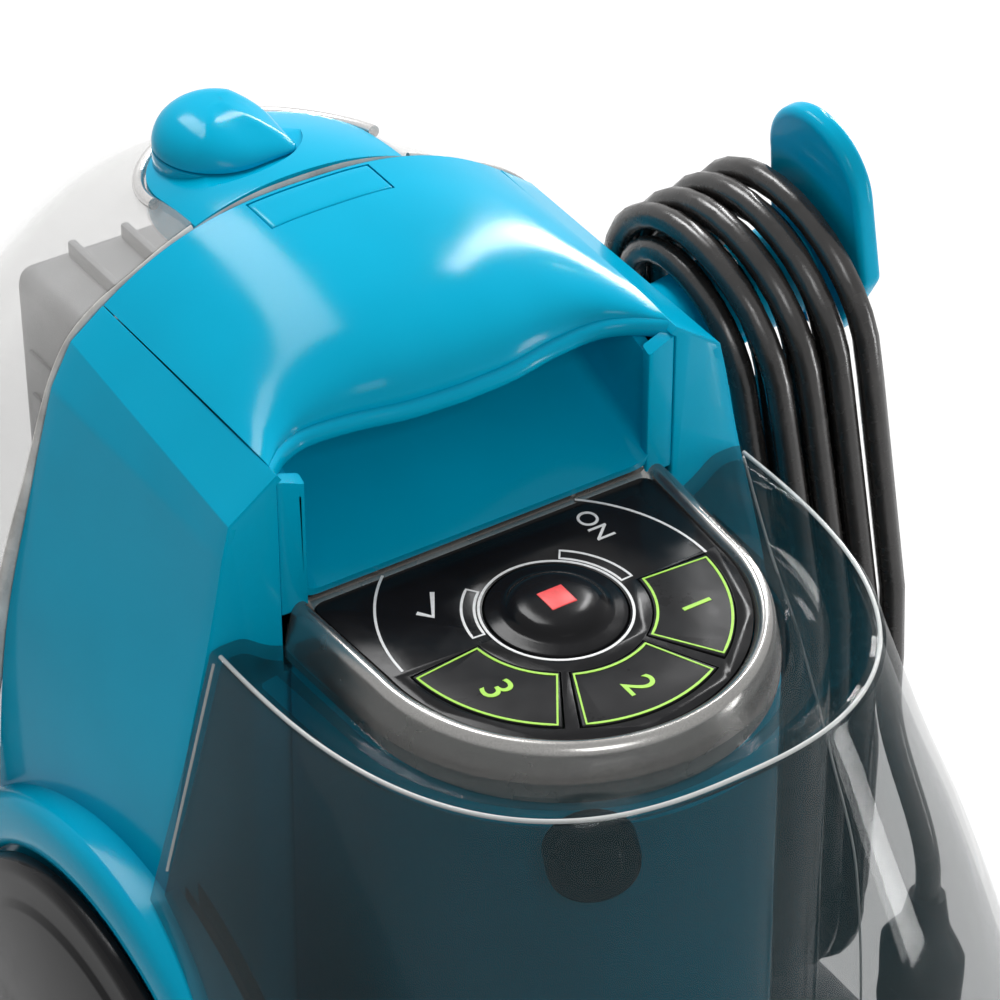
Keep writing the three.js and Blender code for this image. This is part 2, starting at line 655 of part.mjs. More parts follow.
function recoveryScale(y) {
  const share = Math.min((y - RECOVERY_Y) / RECOVERY_LENGTH, 1);
  return (1 - share ** RECOVERY_ROUNDNESS) ** (1 / RECOVERY_ROUNDNESS);
}

function recoveryRing(y, inset, floor) {
  const scale = recoveryScale(y);
  const back = THREE.MathUtils.smoothstep(y - RECOVERY_Y, 0, SHOULDER_REACH);
  const height = (z) => DECK_RISE + (z - DECK_RISE) * scale;
  const half = RECOVERY_ARCH.map(([x, z], i) => {
    const [rearX, rearZ] = RECOVERY_SHOULDERS[i];
    return [(x + (rearX - x) * back) * scale, height(z + (rearZ - z) * back)];
  });
  const outline = [...half.slice(1).map(([x, z]) => [-x, z]).reverse(), ...half];
  const moved = inset ? inward(outline, inset) : outline;
  return moved.map(([x, z]) => [x, y, PANEL_Z + Math.max(z, DECK_RISE + floor)]);
}

function recoverySkin(inset, floor) {
  const shares = [0, 0.08, 0.16, 0.24, 0.34, 0.48, 0.62, 0.76, 0.87, 0.95, 0.985, 0.998];
  const rings = shares.map((share, i) => {
    const length = RECOVERY_LENGTH - inset;
    const shift = i === 0 ? inset : 0;
    return recoveryRing(RECOVERY_Y + shift + share * length, inset, floor);
  });
  return loft(rings);
}

const CAP_FRONT = HOUSING_REAR + 2.2;
const MOUTH_Y = CAP_FRONT + 26;
const MOUTH_RADIUS = 15;

function capOutline(shrink) {
  const half = CAP_HALF_WIDTH - shrink;
  const centre = CAP_FRONT + CAP_LENGTH - CAP_HALF_WIDTH;
  return [
    [half, CAP_FRONT + shrink], ...arc(0, centre, half, 0, 180, 14), [-half, CAP_FRONT + shrink],
  ];
}

function recoveryTank() {
  const shell = recoverySkin(0, GAP).subtract(recoverySkin(TANK_WALL, GAP + TANK_WALL));
  const seat = prism("z", capOutline(-GAP), PANEL_Z + CAP_SEAT, PANEL_Z + 90);
  const ledge = prism("z", capOutline(-GAP - TANK_WALL), PANEL_Z + CAP_SEAT - TANK_WALL, PANEL_Z + CAP_SEAT)
    .intersect(recoverySkin(0.2, GAP));
  const mouth = rod("z", 0, MOUTH_Y, MOUTH_RADIUS, PANEL_Z, PANEL_Z + 90, 28);
  const throat = rod("y", 0, PANEL_Z - 40, 20, HOUSING_REAR, RECOVERY_Y + 12, 28);
  return shell.subtract(seat).add(ledge).subtract(mouth).subtract(throat).subtract(hubNotch(1.2));
}

const CAP_SEAT = 42;
const CAP_SAG = 9;

function tankCap() {
  const top = (u, v) => {
    const x = (2 * u - 1) * (CAP_HALF_WIDTH + 1);
    const y = CAP_FRONT - 1 + (CAP_LENGTH + 2) * v;
    const sag = 5.4 * Math.abs(x / CAP_HALF_WIDTH) ** 2.2 + CAP_SAG * v ** 2;
    return [x, y, PANEL_Z + 59 - sag];
  };
  const bottom = (u, v) => {
    const [x, y] = top(u, v);
    return [x, y, PANEL_Z + CAP_SEAT + GAP];
  };
  const plate = slab(8, 6, top, bottom).intersect(prism("z", capOutline(0), PANEL_Z, PANEL_Z + 90));
  const stopper = rod("z", 0, MOUTH_Y, MOUTH_RADIUS - GAP, PANEL_Z + CAP_SEAT - 7, PANEL_Z + CAP_SEAT + 1, 28);
  const pad = rod("z", KNOB_X, KNOB_Y, KNOB_RADIUS, PANEL_Z + CAP_SEAT + 3, PANEL_Z + KNOB_SEAT, 28)
    .intersect(prism("z", capOutline(0), PANEL_Z, PANEL_Z + 90));
  const sweep = rod("z", KNOB_X, KNOB_Y, KNOB_TIP_REACH + 0.6, PANEL_Z + KNOB_SEAT, PANEL_Z + 90, 36);
  return plate.add(stopper).add(pad).subtract(sweep).subtract(knobRecess());
}

const KNOB_Y = CAP_FRONT + 26.4;
const KNOB_SEAT = 56.2; // the flat seat the knob turns on, over the panel

function knobOutline(grow) {
  const reach = KNOB_TIP_REACH + grow;
  const radius = KNOB_RADIUS + grow;
  const spread = Math.acos(radius / reach);
  const start = (KNOB_TIP_ANGLE + spread) / DEG;
  const end = (KNOB_TIP_ANGLE - spread) / DEG + 360;
  return [...arc(0, 0, radius, start, end, 18), [reach * Math.cos(KNOB_TIP_ANGLE), reach * Math.sin(KNOB_TIP_ANGLE)]];
}

const KNOB_STEM = 6;

function knobRecess() {
  return rod("z", KNOB_X, KNOB_Y, KNOB_STEM + 0.06, PANEL_Z + CAP_SEAT + 3, PANEL_Z + 90, 24);
}

// The grip on the cap: its peak lies behind its middle, and a ridge runs down from it to the tip.
function lockKnob() {
  const low = PANEL_Z + KNOB_SEAT + GAP;
  const [peakX, peakY] = [1.3, 5.7];
  const ring = (size, rise) => knobOutline(0).map(([u, v]) => {
    const [x, y] = [peakX * (1 - size) + u * size, peakY * (1 - size) + v * size];
    const run = (x * Math.cos(KNOB_TIP_ANGLE) + y * Math.sin(KNOB_TIP_ANGLE)) / KNOB_TIP_REACH;
    return [KNOB_X + x, KNOB_Y + y, low + rise * (1 - 0.7 * Math.max(run, 0))];
  });
  const grip = loft([ring(1, 0), ring(1, 1.5), ring(0.94, 4), ring(0.8, 6.4), ring(0.58, KNOB_HEIGHT - 0.8), ring(0.3, KNOB_HEIGHT)]);
  return grip.add(rod("z", KNOB_X, KNOB_Y, KNOB_STEM, PANEL_Z + CAP_SEAT + 3.4, low + 1, 24));
}

const SEAL_REACH = 84;

function tankSeal() {
  const outline = (inset, y) => recoveryRing(RECOVERY_Y, inset, GAP).map(([x, , z]) => [x, y, z]);
  const outer = loft([outline(0.6, HOUSING_REAR + GAP), outline(0, RECOVERY_Y - GAP)]);
  const inner = loft([outline(7, HOUSING_REAR - 1), outline(7, RECOVERY_Y + 1)]);
  const half = CAP_HALF_WIDTH + 1;
  const capClear = box(-half, half, CAP_FRONT - GAP, CAP_FRONT + 20, PANEL_Z + CAP_SEAT - 3, PANEL_Z + 90);
  const legs = box(-200, 200, -200, 200, 0, PANEL_Z - SEAL_REACH);
  return outer.subtract(inner).subtract(capClear).subtract(legs).subtract(hubNotch(GAP));
}

// The separator box that shows through the dome, with its ribs and an open bottom.
function separatorBox() {
  const [x0, x1, y0, y1] = [-44, 44, RECOVERY_Y + 14, RECOVERY_Y + 68];
  const [z0, z1] = [DECK_TOP + 60, PANEL_Z + 12];
  let made = box(x0, x1, y0, y1, z0, z1).subtract(box(x0 + 2.5, x1 - 2.5, y0 + 2.5, y1 - 2.5, z0 - 1, z1 - 2.5));
  for (let i = 0; i < 5; i += 1) {
    const x = x0 + 14 + i * 15;
    made = made.add(box(x, x + 2.4, y0 + 4, y1 - 4, z1 - 1, z1 + 4));
  }
  const leg = box(-6, 6, y0 + 20, y0 + 32, DECK_TOP + GAP + TANK_WALL + GAP, z1 - 2);
  return made.add(leg).add(box(x0 + 1, x1 - 1, y0 + 20, y0 + 32, z0 + 10, z0 + 14));
}

// ---------------------------------------------------------------- inside the housing
const MOTOR_Y = HOUSING_FRONT + 40;

function rearBulkhead() {
  const half = sideAt(1).map(([x, z]) => [x - WALL - 1, Math.max(z - 1, DECK_RISE + GAP)]);
  const crown = [[40, 45], [20, 50.4], [0, 52.4]];
  const right = [...crown.slice().reverse(), [SEAM_X - 2, SEAM_RISE - 1.6], ...half.slice(1)];
  const outline = [...right, ...right.slice(1).reverse().map(([x, z]) => [-x, z])].map(([x, z]) => [x, PANEL_Z + z]);
  const plate = prism("y", outline.reverse(), HOUSING_REAR - WALL, HOUSING_REAR);
  const tabRoom = box(-TAB_HALF_WIDTH - 1, TAB_HALF_WIDTH + 1, TAB_FRONT, HOUSING_REAR + 1, PANEL_Z + 48.5, PANEL_Z + 60);
  return plate.subtract(rod("y", 0, PANEL_Z - 40, 18, HOUSING_REAR - 10, HOUSING_REAR + 10, 28)).subtract(tabRoom);
}

function suctionMotor() {
  const [low, high] = [DECK_TOP + GAP, DECK_TOP + 92];
  const body = turned("z", [
    [0, low], [28, low], [28, low + 6], [31, low + 10], [31, high - 8], [27, high - 4], [27, high], [0, high],
  ], 0, MOTOR_Y, 0, 24);
  return body.subtract(rod("z", 0, MOTOR_Y, MOTOR_SHAFT + 0.05, high - 20, high + 1, 24));
}

const MOTOR_SHAFT = 4;

function impeller() {
  const low = DECK_TOP + 94;
  const hub = rod("z", 0, MOTOR_Y, 9, low, low + 14, 24);
  const disc = rod("z", 0, MOTOR_Y, 27, low, low + 2.4, 24);
  let made = hub.add(disc).add(rod("z", 0, MOTOR_Y, MOTOR_SHAFT, low - 18, low + 1, 24));
  for (let i = 0; i < 8; i += 1) {
    const blade = new THREE.BoxGeometry(18, 2, 11);
    blade.translate(16.5, 4, 0);
    blade.rotateZ((i * Math.PI) / 4);
    blade.translate(0, MOTOR_Y, low + 7);
    made = made.add(solid(blade));
  }
  return made;
}

function fanHousing() {
  const [low, high] = [DECK_TOP + 92 + GAP, DECK_TOP + 114];
  const outer = rod("z", 0, MOTOR_Y, 32.4, low, high, 24);
  const inner = rod("z", 0, MOTOR_Y, 29.6, low - 1, high - 3, 24);
  const inlet = rod("z", 0, MOTOR_Y, 14, high - 5, high + 1, 24);
  return outer.subtract(inner).subtract(inlet);
}

function pump() {
  const low = DECK_TOP + GAP;
  const body = box(44, 74, MOTOR_Y - 20, MOTOR_Y + 18, low, low + 44);
  return body.add(rod("z", 59, MOTOR_Y, 11, low + 43, low + 66, 24));
}

function brushMotor() {
  const low = DECK_TOP + GAP;
  const body = turned("z", [
    [0, low], [32, low], [32, low + 22], [24, low + 24], [24, low + 74], [18, low + 78], [0, low + 78],
  ], 0, RING_Y, 0, 24);
  return body.subtract(rod("z", 0, RING_Y, DRIVE_SHAFT + 0.06, low - 1, low + 18, 24));
}

// ---------------------------------------------------------------- brushes
const BRUSH_ARM = 33;
const BRUSH_RADIUS = 27;
const BRUSH_PIN = 4;

function turntable() {
  const disc = rod("z", 0, RING_Y, TURNTABLE_RADIUS, 24, 29, 30);
  const shaft = rod("z", 0, RING_Y, DRIVE_SHAFT, 28, DECK_TOP + 14, 24);
  let made = disc.add(shaft).add(rod("z", 0, RING_Y, 14, 28, 34, 20));
  for (const side of [-1, 1]) {
    made = made.subtract(rod("z", side * BRUSH_ARM, RING_Y, BRUSH_PIN + 0.06, 0, 40, 24));
  }
  return made;
}

function brush(side) {
  const x = side * BRUSH_ARM;
  const back = turned("z", [
    [0, 15.5], [BRUSH_RADIUS, 15.5], [BRUSH_RADIUS, 20], [12, 21.5], [12, 23.6], [BRUSH_PIN, 23.6], [BRUSH_PIN, 31],
    [0, 31],
  ], x, RING_Y, 0, 20);
  let made = back;
  for (const [radius, count] of [[8, 3], [21, 8]]) {
    for (let i = 0; i < count; i += 1) {
      const angle = (2 * Math.PI * i) / count;
      const [tuftX, tuftY] = [x + radius * Math.cos(angle), RING_Y + radius * Math.sin(angle)];
      made = made.add(rod("z", tuftX, tuftY, 3.4, 1.2, 16, 5));
    }
  }
  return made;
}

function suctionNozzle() {
  const level = (half, reach, z) => atHeight([
    [-half, NOZZLE_Y - reach], [half, NOZZLE_Y - reach], [half, NOZZLE_Y + reach], [-half, NOZZLE_Y + reach],
  ], z);
  const outer = loft([level(NOZZLE_HALF_WIDTH, 8, 2.5), level(NOZZLE_HALF_WIDTH - 4, 7, FOOT_HEIGHT - GAP)]);
  return outer.subtract(nozzleSlot(FOOT_HEIGHT + 1));
}

function sprayNozzle() {
  return turned("z", [[0, 14], [3, 14], [5, 20], [5, 34], [0, 34]], SPRAY_X, NOZZLE_Y + 20, 0, 16)
    .add(box(SPRAY_X - 8, SPRAY_X + 8, NOZZLE_Y + 14, NOZZLE_Y + 26, 34, DECK_TOP - DECK_THICKNESS - GAP));
}

function foot(x, y) {
  return turned("z", [
    [0, 0], [FOOT_RADIUS - 1, 0], [FOOT_RADIUS, 1], [FOOT_RADIUS, FOOT_HEIGHT - GAP], [0, FOOT_HEIGHT - GAP],
  ], x, y, 0, 16);
}

function hosePort() {
  const tube = rod("x", PORT_Y, PORT_Z, PORT_RADIUS, -128, -100, 20);
  const flange = rod("x", PORT_Y, PORT_Z, PORT_RADIUS + 4, -132, -128, 20);
  return tube.add(flange).subtract(rod("x", PORT_Y, PORT_Z, PORT_BORE, -140, -90, 20));
}

// ---------------------------------------------------------------- hub on the left side
const HUB_Y = PANEL_Y + HUB_FORWARD;
const HUB_Z = DECK_TOP + HUB_RISE;

function hubDrum() {
  const profile = [
    [HUB_RADIUS + 0.8, -HUB_INNER_X], [HUB_RING, -HUB_INNER_X], [HUB_RING, -HUB_RIM_X + 3],
    [HUB_RING - 1, -HUB_RIM_X], [HUB_RADIUS + 4, -HUB_RIM_X - 1.4], [HUB_RADIUS + 0.8, -HUB_RIM_X],
    [HUB_RADIUS + 0.8, -HUB_INNER_X],
  ];
  const back = rod("x", HUB_Y, HUB_Z, HUB_RING - 1, -94, -90, 36);
  return turned("x", profile, 0, HUB_Y, HUB_Z, 36).add(back);
}

function hubCover() {
  const [r, face] = [HUB_RADIUS, -HUB_FACE_X];
  const disc = turned("x", [
    [0, face - 1.2], [r - 12, face - 1.2], [r - 10, face], [r - 3, face], [r, face + 2.4], [r, face + HUB_THICKNESS],
    [0, face + HUB_THICKNESS],
  ], 0, HUB_Y, HUB_Z, 30);
  return disc.add(rod("x", HUB_Y, HUB_Z, 12, -HUB_FACE_X + 2, -94 - GAP, 24));
}

// ---------------------------------------------------------------- cord hooks
const HOOK_Y = PANEL_Y + 38;
const HOOK_Z = PANEL_Z + 4.4;
const HOOK_X = 73.6;
const HOOK_LEAN = Math.atan(BAY_LEAN);
const PIVOT_RADIUS = 6;
const PADDLE_START = 45.5;

// Pieces of the upper hook are drawn with +X along its pivot, then leaned with the winding.
function leaned(manifold) {
  const geometry = geometryOf(manifold);
  geometry.rotateY(-HOOK_LEAN);
  geometry.translate(HOOK_X, HOOK_Y, HOOK_Z);
  return solid(geometry);
}

function paddleOutline() {
  const half = PADDLE_WIDTH / 2;
  const centre = -13;
  return [
    ...arc(centre, PADDLE_RISE - half, half, 0, 180, 12),
    [centre - half, 12],
    ...arc(-6, -3, 14, 210, 270, 4),
    ...arc(-4, -3, 14, 270, 360, 6),
  ];
}

function cordHook() {
  const paddle = prism("x", paddleOutline(), PADDLE_START, PADDLE_START + PADDLE_THICKNESS);
  const post = rod("x", 0, 0, POST_RADIUS, 2.4, PADDLE_START + 1, 20);
  const pivot = rod("x", 0, 0, PIVOT_RADIUS, -12, 3, 20);
  const collar = rod("x", 0, 0, PIVOT_RADIUS + 4, -12, -8, 20);
  return leaned(paddle.add(post).add(pivot).add(collar));
}

function pivotHole() {
  return leaned(rod("x", 0, 0, PIVOT_RADIUS + 0.08, -20, 20, 20));
}

const LOWER_HOOK_X = 92;
const LOWER_HOOK_Y = PANEL_Y + 33;
const LOWER_HOOK_Z = DECK_TOP + 42.6;
const LOWER_FLANGE_X = 131.2;

function lowerHook() {
  const start = LOWER_HOOK_X + 1.4;
  const post = rod("x", LOWER_HOOK_Y, LOWER_HOOK_Z, POST_RADIUS, start, LOWER_FLANGE_X + 1, 20);
  const flange = prism("x", [
    ...arc(LOWER_HOOK_Y, LOWER_HOOK_Z + 2, 14, 0, 180, 12),
    ...arc(LOWER_HOOK_Y, LOWER_HOOK_Z - 22, 14, 180, 360, 12),
  ], LOWER_FLANGE_X, LOWER_FLANGE_X + 4.5);
  return post.add(flange);
}

// ---------------------------------------------------------------- power cord
// One loop runs down the front, round the lower hook, up the rear and over the upper hook.
const TOP_CENTRE = { y: 40, z: -2, forward: 2, climb: 3 };
const BOTTOM_CENTRE = { y: 34, z: DECK_RISE + 52, forward: 0.5 };
const BAY_X = 78;
const BAY_TOP = 45;
const BAY_FOOT = -75;
const CORD_START_SHARE = 0.2; // how far down the front run the winding starts

function bayX(rise) {
  return BAY_X + BAY_LEAN * (BAY_TOP - Math.max(rise, BAY_FOOT));
}

function cordPoint(turns, radius, lane) {
  const angle = (turns % 1) * 2 * Math.PI;
  const top = { y: TOP_CENTRE.y - TOP_CENTRE.forward * lane, z: TOP_CENTRE.z + TOP_CENTRE.climb * lane };
  const bottom = { y: BOTTOM_CENTRE.y - BOTTOM_CENTRE.forward * lane, z: BOTTOM_CENTRE.z };
  const share = angle / (2 * Math.PI);
  const mix = (a, b, t) => a + (b - a) * t;
  let [y, z] = [0, 0];
  if (share < 1 / 6) {
    const t = share * 6;
    y = mix(top.y, bottom.y, t) - radius;
    z = mix(top.z, bottom.z, t);
  } else if (share < 1 / 2) {
    const turn = Math.PI + (share - 1 / 6) * 3 * Math.PI;
    y = bottom.y + radius * Math.cos(turn);
    z = bottom.z + radius * Math.sin(turn);
  } else if (share < 2 / 3) {
    const t = (share - 1 / 2) * 6;
    y = mix(bottom.y, top.y, t) + radius;
    z = mix(bottom.z, top.z, t);
  } else {
    const turn = (share - 2 / 3) * 3 * Math.PI;
    y = top.y + radius * Math.cos(turn);
    z = top.z + radius * Math.sin(turn);
  }
  return new THREE.Vector3(bayX(z) + lane * CORD_PITCH, PANEL_Y + y, PANEL_Z + z);
}

// The inner layer winds towards the housing and the outer one back again.
function windingPath() {
  const points = [];
  const steps = 2 * CORD_LANES * LOOP_STEPS - 1;
  for (let i = 0; i <= steps; i += 1) {
    const done = i / LOOP_STEPS;
    const climbStart = CORD_LANES - 0.25;
    const climb = THREE.MathUtils.clamp((done - climbStart) / 0.5, 0, 1);
    const radius = INNER_TURN + LAYER_STEP * climb;
    const lane = Math.abs(CORD_LANES - done);
    points.push(cordPoint(CORD_START_SHARE / 6 * 4 + done, radius, lane));
  }
  return points;
}

function ringsAlong(path, radius, sides) {
  const rings = path.map((point, i) => {
    const along = path[Math.min(i + 1, path.length - 1)].clone().sub(path[Math.max(i - 1, 0)]).normalize();
    const side = new THREE.Vector3(1, 0, 0).addScaledVector(along, -along.x).normalize();
    const out = new THREE.Vector3().crossVectors(along, side);
    const ring = [];
    for (let k = 0; k < sides; k += 1) {
      const angle = (2 * Math.PI * k) / sides;
      const p = point.clone();
      p.addScaledVector(side, radius * Math.cos(angle)).addScaledVector(out, radius * Math.sin(angle));
      ring.push([p.x, p.y, p.z]);
    }
    return ring;
  });
  return rings;
}

function leastGap(path, diameter) {
  const closest = (a, b, c) => {
    const line = new THREE.Line3(a, b);
    const spot = new THREE.Vector3();
    line.closestPointToPoint(c, true, spot);
    return spot.distanceTo(c);
  };
  let least = Infinity;
  for (let i = 0; i + 1 < path.length; i += 1) {
    for (let j = i + LOOP_STEPS / 2; j < path.length; j += 1) {
      least = Math.min(least, closest(path[i], path[i + 1], path[j]));
    }
  }
  return least - diameter;
}

function lengthOf(path) {
  return path.slice(1).reduce((sum, point, i) => sum + point.distanceTo(path[i]), 0);
}

// The lead leaves the housing inside the loops, pointing down.
const OUTLET = { x: 110, y: PANEL_Y + 29, top: PANEL_Z - 20, bottom: PANEL_Z - 36, half: 12, reach: 10 };
const RELIEF_LENGTH = 24;
const RELIEF_RADIUS = 6.5;
const PLUG = { x: 131.5, y: PANEL_Y - 17.5, top: DECK_TOP + 62, length: 42, pin: 17 };
const PIN_SPACING = 12.7;

function outletBoss() {
  const { x, y, top, bottom, half, reach } = OUTLET;
  const outline = [[80, bottom], [x + reach, bottom], [x + reach, top - 6], [x + 2, top], [80, top]];
  const block = prism("y", outline, y - half, y + half);
  return block.subtract(rod("z", x, y, RELIEF_RADIUS - 1, bottom - 1, bottom + 10, 20));
}

function strainRelief() {
  const { x, y, bottom } = OUTLET;
  const tip = CORD_DIAMETER / 2 + 1.2;
  const neck = RELIEF_RADIUS - 1 - GAP;
  return turned("z", [
    [0, bottom - RELIEF_LENGTH], [tip, bottom - RELIEF_LENGTH], [RELIEF_RADIUS - 0.6, bottom - 4],
    [RELIEF_RADIUS + 1.5, bottom - 3], [RELIEF_RADIUS + 1.5, bottom - GAP], [neck, bottom - GAP], [neck, bottom + 9],
    [0, bottom + 9],
  ], x, y, 0, 14);
}

const winding = windingPath();

function straightEnds(path) {
  const last = path.length - 1;
  const head = path[0].clone().sub(path[1]).setLength(CORD_DIAMETER).add(path[0]);
  const tail = path[last].clone().sub(path[last - 1]).setLength(CORD_DIAMETER).add(path[last]);
  return [head, ...path, tail];
}

// A gentle shift from one place to another while the cord runs down.
function sagging(from, to, xSpan, ySpan) {
  const eased = (t) => (1 - Math.cos(Math.PI * THREE.MathUtils.clamp(t, 0, 1))) / 2;
  const points = [];
  for (let i = 0; i <= FREE_POINTS; i += 1) {
    const t = i / FREE_POINTS;
    const across = eased((t - xSpan[0]) / (xSpan[1] - xSpan[0]));
    const along = eased((t - ySpan[0]) / (ySpan[1] - ySpan[0]));
    points.push(new THREE.Vector3(
      from.x + (to.x - from.x) * across, from.y + (to.y - from.y) * along, from.z + (to.z - from.z) * t,
    ));
  }
  return points;
}

const FREE_POINTS = 12;

function cordLead() {
  const from = new THREE.Vector3(OUTLET.x, OUTLET.y, OUTLET.bottom - RELIEF_LENGTH - GAP);
  const to = straightEnds(winding)[0].clone();
  to.z += GAP;
  return sagging(from, to, [0.02, 0.72], [0.2, 1]);
}

// The free end hangs down from the outermost turn to the plug.
function cordTail() {
  const from = straightEnds(winding).pop().clone();
  from.z -= 2 * GAP;
  return sagging(from, new THREE.Vector3(PLUG.x, PLUG.y, PLUG.top + GAP), [0.05, 0.95], [0.05, 0.95]);
}

function plug() {
  const { x, y, top, length, pin } = PLUG;
  const ring = (halfX, halfY, roundness, drop) => (
    roundOutline(halfX, halfY, roundness, 16).map(([u, v]) => [x + u, y + v, top - drop])
  );
  const body = loft([ring(5, 5, 2, 0), ring(6, 7, 2.4, 10), ring(8.5, 12.5, 3, 18), ring(8.5, 12.5, 3, length)]);
  const blade = (side) => {
    const middle = y + (side * PIN_SPACING) / 2;
    return box(x - 3.2, x + 3.2, middle - 0.8, middle + 0.8, top - length - pin, top - length + 1);
  };
  return body.add(blade(-1)).add(blade(1));
}

function powerCord() {
  return loft(ringsAlong(straightEnds(winding), CORD_DIAMETER / 2, 6));
}

function freeTube(points) {
  const curve = new THREE.CatmullRomCurve3(points);
  const section = new THREE.Shape(circle(0, 0, CORD_DIAMETER / 2, 8).map(([u, v]) => new THREE.Vector2(u, v)));
  return solid(new THREE.ExtrudeGeometry(section, { steps: FREE_POINTS, bevelEnabled: false, extrudePath: curve }));
}

// ---------------------------------------------------------------- assembly
add("base_pan", basePan(), CHARCOAL());
add("base_deck", baseDeck(), CHARCOAL());
for (const [side, across] of [["left", -1], ["right", 1]]) {
  for (const [end, ahead] of [["front", -1], ["rear", 1]]) {
    add(`foot_${side}_${end}`, foot(across * FOOT_X, ahead * FOOT_Y), RUBBER());
  }
}
const rightPanel = sidePanel();
const leftGeometry = geometryOf(rightPanel).scale(-1, 1, 1);
const bulkheadSlot = box(-89.8, 0, HOUSING_REAR - WALL - GAP, HOUSING_REAR + GAP, 0, PANEL_Z - 20);
const leftPanel = solid(flipped(leftGeometry)).add(hubDrum().subtract(bulkheadSlot))
  .subtract(box(-200, 0, -200, 200, 0, DECK_TOP + GAP));
add("left_side_panel", leftPanel, TEAL());
add("right_side_panel", rightPanel.add(outletBoss()).subtract(pivotHole()), TEAL());
add("top_cover", coverSheet().subtract(tabRegion(GAP)), TEAL());
add("latch_tab", coverSheet().intersect(tabRegion(0)), TEAL());
add("handle_well", handleWell(), TEAL());
add("rear_bulkhead", rearBulkhead(), TEAL());
add("panel_pedestal", pedestal(), TEAL());
add("sensor_boss", sensorBoss(), BLACK());

const panel = new THREE.Group();
panel.position.set(0, PANEL_Y, PANEL_Z);
panel.rotation.x = PANEL_TILT;
machine.add(panel);
add("panel_bezel", bezel(), SILVER(), panel);
add("panel_face", panelFace(), BLACK(), panel);
add("stop_button", stopButton(), BLACK(), panel);
KEY_SPANS.forEach((span, i) => add(`program_key_${i + 1}`, keyCap(span), BLACK(), panel));
add("control_board", controlBoard(), material(0x1f5a3a, 0.6), panel);

add("solution_tank", solutionTank(), SMOKE());
add("tank_valve", tankValve(), GREY());
add("recovery_tank", recoveryTank(), SMOKE());
add("tank_seal", tankSeal(), GREY());
add("tank_cap", tankCap(), TEAL());
add("lock_knob", lockKnob(), TEAL());
add("separator_box", separatorBox(), GREY());
add("hub_cover", hubCover(), BLACK());
add("cord_hook", cordHook(), TEAL());
add("lower_cord_hook", lowerHook(), TEAL());
add("strain_relief", strainRelief(), RUBBER());
add("power_cord", powerCord(), RUBBER());
add("cord_lead", freeTube(cordLead()), RUBBER());
add("cord_tail", freeTube(cordTail()), RUBBER());
add("plug", plug(), PLUG_BLACK());
add("suction_motor", suctionMotor(), STEEL());
add("impeller", impeller(), GREY());
add("fan_housing", fanHousing(), CHARCOAL());
add("pump", pump(), GREY());
add("brush_motor", brushMotor(), STEEL());
add("turntable", turntable(), GREY());
add("brush_left", brush(-1), GREY());
add("brush_right", brush(1), GREY());
add("suction_nozzle", suctionNozzle(), SMOKE());
add("spray_nozzle", sprayNozzle(), GREY());
add("hose_port", hosePort(), BLACK());

const woundLength = lengthOf(winding).toFixed(0);
console.log(`winding: least gap ${leastGap(winding, CORD_DIAMETER).toFixed(2)} mm, length ${woundLength} mm`);
console.log(`free ends ${lengthOf(cordLead()).toFixed(0)} mm and ${lengthOf(cordTail()).toFixed(0)} mm`);

export default machine;
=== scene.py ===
"""Dresses the spot extractor: housing, control panel, clear tanks, hub, cord wrap, base and brushes."""

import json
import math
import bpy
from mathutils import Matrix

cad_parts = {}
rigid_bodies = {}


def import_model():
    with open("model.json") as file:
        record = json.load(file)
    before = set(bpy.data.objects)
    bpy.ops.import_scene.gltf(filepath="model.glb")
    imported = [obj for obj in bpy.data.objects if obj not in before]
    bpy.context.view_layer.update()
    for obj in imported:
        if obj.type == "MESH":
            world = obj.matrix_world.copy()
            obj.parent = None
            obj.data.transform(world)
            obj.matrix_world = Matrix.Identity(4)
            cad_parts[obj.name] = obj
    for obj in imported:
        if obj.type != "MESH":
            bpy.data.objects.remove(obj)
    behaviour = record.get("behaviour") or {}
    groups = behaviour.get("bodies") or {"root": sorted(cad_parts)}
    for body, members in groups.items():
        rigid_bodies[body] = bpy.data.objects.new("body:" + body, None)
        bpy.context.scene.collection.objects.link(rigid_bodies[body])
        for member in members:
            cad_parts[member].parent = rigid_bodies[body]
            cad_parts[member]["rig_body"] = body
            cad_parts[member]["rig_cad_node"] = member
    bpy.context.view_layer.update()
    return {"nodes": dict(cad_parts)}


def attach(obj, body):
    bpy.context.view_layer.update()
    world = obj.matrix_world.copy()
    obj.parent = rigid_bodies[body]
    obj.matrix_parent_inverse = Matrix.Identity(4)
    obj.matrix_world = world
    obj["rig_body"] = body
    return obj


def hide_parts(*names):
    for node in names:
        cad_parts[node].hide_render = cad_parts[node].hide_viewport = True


bl_info = {
    "name": "Spot Extractor",
    "version": (1, 0, 0),
    "blender": (4, 5, 0),
    "location": "View3D > Sidebar > Spot Extractor",
    "description": "Models the visible pieces of a portable spot extractor around its packed frame",
    "category": "Object",
}

import bpy
from mathutils import Euler, Matrix, Vector

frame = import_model()

